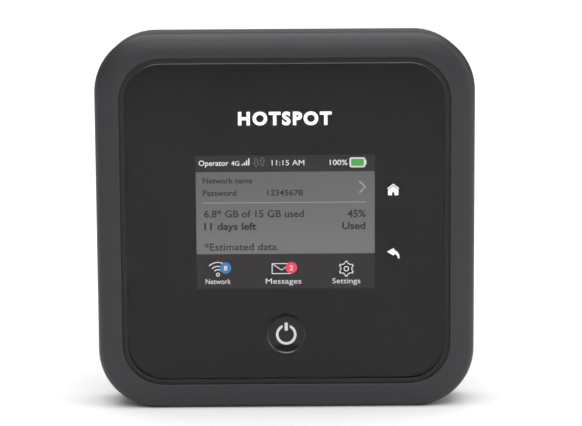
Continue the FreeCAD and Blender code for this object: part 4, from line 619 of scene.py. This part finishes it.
# menu
film("menu_words", [
    lettering("Network", 5.90, 35.95, 1.54, 7.00, 0.0, "CENTER"),
    lettering("Messages", 24.05, 35.95, 1.54, 9.90, 0.0, "CENTER"),
    lettering("Settings", 41.50, 35.95, 1.54, 7.80, 0.0, "CENTER")], TEXT_GAP, white_glow)
film("menu_waves", [ring(5.87, 33.3, radius, 0.26, 45.0, sides=96) for radius in (1.40, 2.35, 3.45)]
     + [ring(5.87, 33.3, 0.43, 0.24)], TEXT_GAP, white_glow)
CORNERS = ((20.90, 30.30), (26.10, 30.30), (26.10, 33.10), (20.90, 33.10))
film("menu_envelope", [bar(CORNERS[k - 1], CORNERS[k], 0.23) for k in range(len(CORNERS))]
     + [bar((21.15, 30.50), (23.50, 32.10), 0.20), bar((23.50, 32.10), (25.85, 30.50), 0.20)],
     TEXT_GAP, white_glow)
film("menu_gear_shade", [disc(41.5, 31.85, 1.50)], TEXT_GAP, glowing("shade_glow", SHADE_GLOW))
film("menu_gear", [ring(41.5, 31.85, 1.56, 0.28, lobes=6, lift=1.28, sides=72),
                   ring(41.5, 31.85, 0.63, 0.25)], BADGE_GAP, white_glow)
film("network_badge", [disc(7.98, 31.45, 1.58, 48)], BADGE_GAP, glowing("blue_glow", BLUE_GLOW))
film("messages_badge", [disc(26.25, 31.45, 1.60, 48)], BADGE_GAP, glowing("red_glow", RED_GLOW))
film("badge_digits", [lettering("8", 7.98, 32.15, 1.40, 0.95, 0.020, "CENTER"),
                      lettering("2", 26.25, 32.15, 1.40, 0.95, 0.020, "CENTER")], DIGIT_GAP, white_glow)

# ---------------------------------------------------------------- printed lens
# Chemically strengthened glass with eased edges, black ink screen-printed behind it, open at the
# window and the key signs. The maker's word, here a plain one, is white ink over the black; it
# glows faintly, painted light that keeps it bright behind the glass.
INK_COLOR = (0.0008, 0.0008, 0.0009, 1)
LENS_ROUGHNESS = 0.003
LENS_IOR = 1.02             # the layers behind carry the gloss of the bonded stack
WORD = "HOTSPOT"
WORD_PLACE = (0.0, 0.0814)
WORD_SIZE = (25.7, 3.80)
WORD_STEPS = 6
WORD_WEIGHT = 0.23           # its strokes are this much heavier, in the lettering's own size
WORD_SPACING = 1.24
# painted light: how strongly the white ink of the maker's word glows
WORD_PAINTED_GLOW = 0.55
WHITE_INK = (0.86, 0.86, 0.86, 1)
INK_GRAIN = 900.0
INK_DEPTH = 5.0e-8
WIPE_SCALE = 60.0
WIPE_DETAIL = 4.0
TINT_LOW = (0.990, 0.988, 0.986, 1)
TINT_HIGH = (0.998, 0.997, 0.996, 1)


def clear_glass():
    """Polished glass with faint wipe marks."""
    material, n, link, out = new_material("clear_glass")
    shader = n.new("ShaderNodeBsdfPrincipled")
    shader.inputs["Transmission Weight"].default_value = 1.0
    shader.inputs["IOR"].default_value = LENS_IOR
    place = n.new("ShaderNodeTexCoord")
    wipes = n.new("ShaderNodeTexNoise")
    wipes.inputs["Scale"].default_value = WIPE_SCALE
    wipes.inputs["Detail"].default_value = WIPE_DETAIL
    rough = n.new("ShaderNodeMapRange")
    rough.inputs["To Min"].default_value = 0.0
    rough.inputs["To Max"].default_value = LENS_ROUGHNESS * 2
    tint = color_mix(n, TINT_LOW, TINT_HIGH)
    link.new(place.outputs["Object"], wipes.inputs["Vector"])
    link.new(wipes.outputs["Fac"], rough.inputs["Value"])
    link.new(wipes.outputs["Fac"], tint.inputs[0])
    link.new(rough.outputs["Result"], shader.inputs["Roughness"])
    link.new(tint.outputs[2], shader.inputs["Base Color"])
    link.new(shader.outputs["BSDF"], out.inputs["Surface"])
    return material


dress(clear_glass(), "cover_lens")
dress(grained("black_ink", INK_COLOR, GLASS_ROUGHNESS, INK_GRAIN, INK_DEPTH, spread=GLASS_ROUGHNESS / 2,
              specular=GLASS_SPECULAR)[0], "lens_print")

LENS_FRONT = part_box("cover_lens")[0][1]
LENS_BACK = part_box("cover_lens")[1][1]
PRINT_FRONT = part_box("lens_print")[0][1]
deselect()
bpy.ops.object.text_add(location=(0, 0, 0))
word = bpy.context.object
word.data.body = WORD
word.data.size = WORD_SIZE[1] / CAP_SHARE
word.data.offset = WORD_WEIGHT
word.data.space_character = WORD_SPACING
word.data.resolution_u = WORD_STEPS
word.data.extrude = FILM / 2
bpy.ops.object.convert(target="MESH")
word = bpy.context.object
word.name = "lens_word"
low = min(v.co.x for v in word.data.vertices)
high = max(v.co.x for v in word.data.vertices)
floor_z = min(v.co.y for v in word.data.vertices)
top_z = max(v.co.y for v in word.data.vertices)
wide = MM * WORD_SIZE[0] / (high - low)
tall = MM * WORD_SIZE[1] / (top_z - floor_z)
word.scale = (wide, tall, MM)
word.rotation_euler = (math.pi / 2, 0, 0)
word.location = (WORD_PLACE[0] - (low + high) / 2 * wide, (LENS_BACK + PRINT_FRONT) / 2,
                 WORD_PLACE[1] - (floor_z + top_z) / 2 * tall)
bpy.ops.object.transform_apply(location=True, rotation=True, scale=True)
white_ink_painted_glow, _, link, shader = grained("white_ink_painted_glow", WHITE_INK, GLASS_ROUGHNESS, INK_GRAIN, INK_DEPTH,
                                     tone=0.02, spread=GLASS_ROUGHNESS / 2, specular=GLASS_SPECULAR)
# painted light: the white ink glows, though no lamp lights it from behind
shader.inputs["Emission Strength"].default_value = WORD_PAINTED_GLOW
link.new(shader.inputs["Base Color"].links[0].from_socket, shader.inputs["Emission Color"])
word.data.materials.append(white_ink_painted_glow)
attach(word, "housing")

# A dark cord fills the bottom of the groove round the lens, painted shade that darkens the
# groove where shade falls, and a thin strip on the lens's rounded rim carries its polish.
LENS_REACH = 0.04425         # from the middle of the lens to its edge
LENS_MIDDLE = 0.0525
LENS_RADIUS = 0.0102
GROOVE_WIDTH = 0.00125
CORD_FIT = 0.00002           # clearance of the cord
CORD_HEIGHT = 0.00012
GROOVE_SHADE_COLOR = (0.0140, 0.0140, 0.0148, 1)
STRIP_SKIN = 0.000008
CORNER_STEPS = 14
EDGE_ROUND = 0.00035         # rounding of the lens's rim
EDGE_RISE = 0.00036          # from the middle of that rounding to the strip
EDGE_ANGLES = [math.radians(angle) for angle in (15, 33, 51, 69)]
EDGE_COLOR = (0.018, 0.018, 0.019, 1)


def round_plate(name, reach, radius, y):
    """A round-cornered square facing forwards, about the middle of the lens; left in edit mode."""
    deselect()
    bpy.ops.mesh.primitive_plane_add(size=2 * reach, location=(0, y, LENS_MIDDLE),
                                     rotation=(math.pi / 2, 0, 0))
    piece = bpy.context.object
    piece.name = name
    bpy.ops.object.transform_apply(location=True, rotation=True, scale=True)
    edit_all(piece)
    bpy.ops.mesh.bevel(offset=radius, segments=CORNER_STEPS, affect="VERTICES")
    bpy.ops.mesh.select_all(action="SELECT")
    return piece


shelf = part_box("lens_tape")[1][1]
cord = round_plate("groove_shade_cord", LENS_REACH + GROOVE_WIDTH - CORD_FIT,
                   LENS_RADIUS + GROOVE_WIDTH - CORD_FIT, shelf - CORD_FIT)
bpy.ops.mesh.inset(thickness=GROOVE_WIDTH - 2 * CORD_FIT)
bpy.ops.mesh.delete(type="FACE")
thicken(cord, CORD_HEIGHT, 1.0)
# painted shade: the cord's near-black colour darkens the bottom of the groove
cord.data.materials.append(grained("groove_painted_shade", GROOVE_SHADE_COLOR, 0.7, 1800.0, 1.0e-5, tone=0.3)[0])
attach(cord, "housing")

rim = EDGE_RISE * math.cos(EDGE_ANGLES[0]) - EDGE_ROUND
strip = round_plate("lens_edge", LENS_REACH + rim, LENS_RADIUS + rim,
                    LENS_FRONT + EDGE_ROUND - EDGE_RISE * math.sin(EDGE_ANGLES[0]))
for low, high in zip(EDGE_ANGLES, EDGE_ANGLES[1:]):
    bpy.ops.mesh.inset(thickness=EDGE_RISE * (math.cos(low) - math.cos(high)),
                       depth=EDGE_RISE * (math.sin(high) - math.sin(low)))
bpy.ops.mesh.delete(type="FACE")
thicken(strip, STRIP_SKIN, 1.0)
strip.data.materials.append(grained("polished_edge", EDGE_COLOR, 0.18, 900.0, 1.0e-7, tone=0.1,
                                    specular=0.65)[0])
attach(strip, "housing")

# The hole for the power button is ground after cutting, so its wall and chamfer stay frosted.
BUTTON_Z = 0.0212
HOLE_RADIUS = 0.0051
HOLE_CHAMFER = 0.00025
FROST = 0.00002              # clearance of the ground skin
FROST_COLOR = (0.010, 0.010, 0.010, 1)
HOLE_SIDES = 72

deselect()
bpy.ops.mesh.primitive_circle_add(vertices=HOLE_SIDES, radius=HOLE_RADIUS - FROST, fill_type="NOTHING",
                                  location=(0, LENS_BACK, BUTTON_Z), rotation=(math.pi / 2, 0, 0))
frost = bpy.context.object
frost.name = "hole_frost"
bpy.ops.object.transform_apply(location=True, rotation=True, scale=True)
edit_all(frost)
bpy.ops.mesh.extrude_edges_move(TRANSFORM_OT_translate={
    "value": (0, LENS_FRONT + HOLE_CHAMFER - LENS_BACK, 0)})
bpy.ops.mesh.extrude_edges_move(TRANSFORM_OT_translate={"value": (0, -HOLE_CHAMFER + FROST, 0)})
flare = (HOLE_RADIUS + HOLE_CHAMFER - 2 * FROST) / (HOLE_RADIUS - FROST)
bpy.ops.transform.resize(value=(flare, 1, flare), center_override=(0, LENS_FRONT, BUTTON_Z))
bpy.ops.mesh.select_all(action="SELECT")
bpy.ops.mesh.normals_make_consistent(inside=False)
thicken(frost, FROST / 2, 0.0)
frost.data.materials.append(grained("ground_glass", FROST_COLOR, 0.22, 6000.0, 1.0e-6, tone=0.1,
                                    specular=1.0, coat=0.6)[0])
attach(frost, "housing")

# ---------------------------------------------------------------- touch keys
# Two keys right of the display: milky acrylic guides that fill the openings in the print, and
# the white LEDs behind them.
KEY_GLOW = (0.60, 0.61, 0.61, 1)
LED_COLOR = (0.85, 0.80, 0.45, 1)
ACRYLIC_GRAIN = 2500.0
ACRYLIC_DEPTH = 8.0e-7
ACRYLIC_TONE = 0.04


def milky(name, color, strength, roughness):
    """Light-spreading acrylic that glows: lit from behind by LEDs in the keys, painted light in the power
    sign.
    """
    material, _, link, shader = grained(name, color, roughness, ACRYLIC_GRAIN, ACRYLIC_DEPTH,
                                        ACRYLIC_TONE)
    shader.inputs["Emission Strength"].default_value = strength
    link.new(shader.inputs["Base Color"].links[0].from_socket, shader.inputs["Emission Color"])
    return material


dress(milky("lit_acrylic", KEY_GLOW, 1.05, 0.35), "key_guides")
dress(milky("led_resin", LED_COLOR, 0.6, 0.2), "key_leds")

# ---------------------------------------------------------------- power button and its switch
# A dished cap, moulded in high-gloss black with a white sign that glows faintly as painted
# light, with no lamp behind it, on a plunger that presses a tactile switch with a red stem.
GLOSS_BLACK = (0.006, 0.006, 0.0065, 1)
SIGN_COLOR = (0.43, 0.445, 0.445, 1)
SWITCH_BLACK = (0.02, 0.02, 0.02, 1)
SWITCH_RED = (0.35, 0.03, 0.02, 1)

dress(grained("gloss_black", GLOSS_BLACK, 0.07, 900.0, 2.0e-7, tone=0.1, spread=0.04, specular=0.3)[0],
      "power_button")
# painted light: the power sign glows, though no lamp sits behind it
dress(milky("sign_painted_glow", SIGN_COLOR, 0.35, 0.3), "power_icon")
dress(grained("switch_black", SWITCH_BLACK, 0.5, 6000.0, 1.5e-6)[0], "switch_body")
dress(grained("switch_red", SWITCH_RED, 0.4, 6000.0, 1.0e-6)[0], "switch_stem")

# ---------------------------------------------------------------- battery, its terminals and its labels
# A flat lithium pack in a grained black sleeve with a blank silver label, gilded pads in its side,
# and gilded leaf springs in an ivory block beside the bay.
SLEEVE_COLOR = (0.016, 0.016, 0.018, 1)
LABEL_COLOR = (0.62, 0.62, 0.61, 1)
LABEL_RULE = (0.10, 0.10, 0.11, 1)
GILT_COLOR = (0.80, 0.55, 0.20, 1)
RULE_PITCH = 0.006           # metres between the label's printed rules
RULE_WIDTH = 0.00025
LABEL_ROUGHNESS = 0.42
LABEL_GRAIN = 3000.0
LABEL_DEPTH = 5.0e-7
LABEL_TONE = 0.04

gilt = grained("gilt", GILT_COLOR, 0.22, 6000.0, 6.0e-7, spread=0.1, metallic=1.0)[0]


def ruled_label():
    """Silver film with printed rules and no words."""
    material, n, link, shader = grained("ruled_label", LABEL_COLOR, LABEL_ROUGHNESS, LABEL_GRAIN,
                                        LABEL_DEPTH, LABEL_TONE)
    place = n.new("ShaderNodeTexCoord")
    split = n.new("ShaderNodeSeparateXYZ")
    lines = math_node(n, "MODULO", None, RULE_PITCH)
    thin = math_node(n, "LESS_THAN", None, RULE_WIDTH)
    ink = color_mix(n, high=LABEL_RULE)
    old = shader.inputs["Base Color"].links[0].from_socket
    link.new(place.outputs["Object"], split.inputs[0])
    link.new(split.outputs["Z"], lines.inputs[0])
    link.new(lines.outputs[0], thin.inputs[0])
    link.new(thin.outputs[0], ink.inputs[0])
    link.new(old, ink.inputs[6])
    link.new(ink.outputs[2], shader.inputs["Base Color"])
    return material


dress(grained("battery_sleeve", SLEEVE_COLOR, 0.5, 4200.0, 2.0e-6)[0], "battery_pack")
dress(ruled_label(), "battery_label", "bay_label")
dress(gilt, "battery_contacts", "terminal_springs")

# ---------------------------------------------------------------- jacks and caps in the lower edge
# An Ethernet jack and a USB-C receptacle in plated steel with black nylon bodies and gilded
# contacts, and two push-fit coaxial jacks in gilded brass behind soft caps on moulded pins.
PLATED_COLOR = (0.58, 0.58, 0.56, 1)
JACK_NYLON = (0.012, 0.012, 0.013, 1)
CAP_COLOR = (0.0160, 0.0160, 0.0180, 1)
JACK_BRASS = (0.74, 0.50, 0.19, 1)
BEAD_COLOR = (0.74, 0.73, 0.70, 1)

plated_steel = grained("plated_steel", PLATED_COLOR, 0.27, 1800.0, 1.0e-6, tone=0.12, spread=0.14,
                       stretch=(1, 1, 10), metallic=1.0)[0]
dress(plated_steel, "ethernet_shell", "usb_shell")
dress(grained("jack_nylon", JACK_NYLON, 0.42, 5000.0, 1.2e-6)[0], "ethernet_insert", "usb_tongue")
dress(gilt, "ethernet_contacts", "usb_contacts", "antenna_pins")
dress(grained("gilded_brass", JACK_BRASS, 0.25, TURNED_GRAIN, 8.0e-7, tone=0.1, spread=0.12,
              stretch=(1, 1, 12), metallic=1.0)[0], "antenna_jack_left", "antenna_jack_right")
dress(grained("white_bead", BEAD_COLOR, 0.35, 5000.0, 1.0e-6, tone=0.04)[0], "antenna_cores")
dress(grained("cap_rubber", CAP_COLOR, 0.68, 3200.0, 4.0e-6, tone=0.12)[0],
      "port_cap_left", "port_cap_right")

# ---------------------------------------------------------------- antennas
# Copper foil radiators stuck to grey moulded carriers, which stand against the side walls and
# hang under the top wall, well away from the metal of the chassis.
COPPER_COLOR = (0.72, 0.32, 0.17, 1)
CARRIER_COLOR = (0.45, 0.45, 0.44, 1)

dress(grained("carrier_grey", CARRIER_COLOR, 0.5, 3600.0, 2.0e-6)[0],
      "side_carrier_left", "side_carrier_right", "top_carrier_left", "top_carrier_right")
dress(grained("copper_foil", COPPER_COLOR, 0.34, 1500.0, 2.0e-6, tone=0.15, spread=0.15, metallic=1.0)[0],
      "antenna_foils")

# ---------------------------------------------------------------- studio
# A wide pale paper floor, seen only from above, soft boxes overhead, in front and at the right, and
# a white room. The hotspot stands on the floor on its lower edge.
FLOOR_SIZE = 30.0
PAPER_LIGHT = 0.91
PAPER_DARK = 0.89
SWEEP_CENTRE = (0, -0.8, 0)
SWEEP_START = 0.9            # metres from the centre where the paper starts to be lit from below
SWEEP_END = 1.7
SWEEP_GLOW = 0.62
FIBRE_SCALE = 40.0
PAPER_ROUGHNESS = 0.7
PAPER_SPECULAR = 0.2
WHITE = (1, 1, 1, 1)
ROOM_LIGHT = 0.43


def studio_floor():
    """The paper, clear from below, that glows away from the hotspot."""
    deselect()
    bpy.ops.mesh.primitive_plane_add(size=FLOOR_SIZE, location=(0, 0, 0))
    floor = bpy.context.object
    floor.name = "studio_floor"
    material, n, link, out = new_material("pale_paper")
    place = n.new("ShaderNodeTexCoord")
    fibre = n.new("ShaderNodeTexNoise")
    fibre.inputs["Scale"].default_value = FIBRE_SCALE
    tone = n.new("ShaderNodeMapRange")
    tone.inputs["To Min"].default_value = PAPER_DARK
    tone.inputs["To Max"].default_value = PAPER_LIGHT
    away = vector_node(n, "DISTANCE")
    away.inputs[1].default_value = SWEEP_CENTRE
    sweep = n.new("ShaderNodeMapRange")
    sweep.inputs["From Min"].default_value = SWEEP_START
    sweep.inputs["From Max"].default_value = SWEEP_END
    sweep.inputs["To Max"].default_value = SWEEP_GLOW
    paper = n.new("ShaderNodeBsdfPrincipled")
    paper.inputs["Roughness"].default_value = PAPER_ROUGHNESS
    paper.inputs["Specular IOR Level"].default_value = PAPER_SPECULAR
    paper.inputs["Emission Color"].default_value = WHITE
    side = n.new("ShaderNodeNewGeometry")
    clear = n.new("ShaderNodeBsdfTransparent")
    mix = n.new("ShaderNodeMixShader")
    link.new(place.outputs["Object"], fibre.inputs["Vector"])
    link.new(place.outputs["Object"], away.inputs[0])
    link.new(fibre.outputs["Fac"], tone.inputs["Value"])
    link.new(away.outputs["Value"], sweep.inputs["Value"])
    link.new(tone.outputs["Result"], paper.inputs["Base Color"])
    link.new(sweep.outputs["Result"], paper.inputs["Emission Strength"])
    link.new(side.outputs["Backfacing"], mix.inputs["Fac"])
    link.new(paper.outputs["BSDF"], mix.inputs[1])
    link.new(clear.outputs["BSDF"], mix.inputs[2])
    link.new(mix.outputs["Shader"], out.inputs["Surface"])
    floor.data.materials.append(material)


def soft_box(name, place, target, size, power):
    """A rectangular lamp at a place, turned to its target."""
    light = bpy.data.lights.new(name, "AREA")
    light.shape = "RECTANGLE"
    light.size, light.size_y = size
    light.energy = power
    lamp = bpy.data.objects.new(name, light)
    bpy.context.collection.objects.link(lamp)
    lamp.location = place
    lamp.rotation_euler = (Vector(target) - Vector(place)).to_track_quat("-Z", "Y").to_euler()


studio_floor()
soft_box("top_box", (0, -0.15, 1.1), (0, -0.15, 0.0), (1.3, 1.3), 13.5)
soft_box("front_box", (0, -1.1, 0.9), (0, 0, 0.05), (0.9, 0.6), 5.0)
soft_box("right_box", (1.2, -0.5, 0.6), (0, 0, 0.05), (0.9, 1.0), 4.0)

world = bpy.data.worlds.new("white_room")
world.use_nodes = True
n, link = world.node_tree.nodes, world.node_tree.links
room = n["Background"]
room.inputs["Color"].default_value = WHITE
room.inputs["Strength"].default_value = ROOM_LIGHT
backdrop = n.new("ShaderNodeBackground")
backdrop.inputs["Color"].default_value = WHITE
seen = n.new("ShaderNodeLightPath")
either = n.new("ShaderNodeMixShader")
link.new(seen.outputs["Is Camera Ray"], either.inputs["Fac"])
link.new(room.outputs["Background"], either.inputs[1])
link.new(backdrop.outputs["Background"], either.inputs[2])
link.new(either.outputs["Shader"], n["World Output"].inputs["Surface"])
bpy.context.scene.world = world
bpy.context.scene.view_settings.view_transform = "Standard"

# ---------------------------------------------------------------- camera
# A long lens about 0.6 m in front of the hotspot, a little above it and looking down at it.
CAMERA_PLACE = (0.0003, -0.600, 0.14106)
CAMERA_YAW = math.radians(0.12)
CAMERA_PITCH = math.radians(-8.28)
CAMERA_ROLL = math.radians(-0.36)
SENSOR = 36.0
FOCAL_LENGTH = 133.5
CLIP_START = 0.01

camera_data = bpy.data.cameras.new("camera")
camera_data.sensor_width = SENSOR
camera_data.lens = FOCAL_LENGTH
camera_data.clip_start = CLIP_START
camera = bpy.data.objects.new("camera", camera_data)
bpy.context.collection.objects.link(camera)
camera.matrix_world = (Matrix.Translation(CAMERA_PLACE) @ Matrix.Rotation(-CAMERA_YAW, 4, "Z")
                       @ Matrix.Rotation(math.pi / 2 + CAMERA_PITCH, 4, "X")
                       @ Matrix.Rotation(CAMERA_ROLL, 4, "Z"))
bpy.context.scene.camera = camera
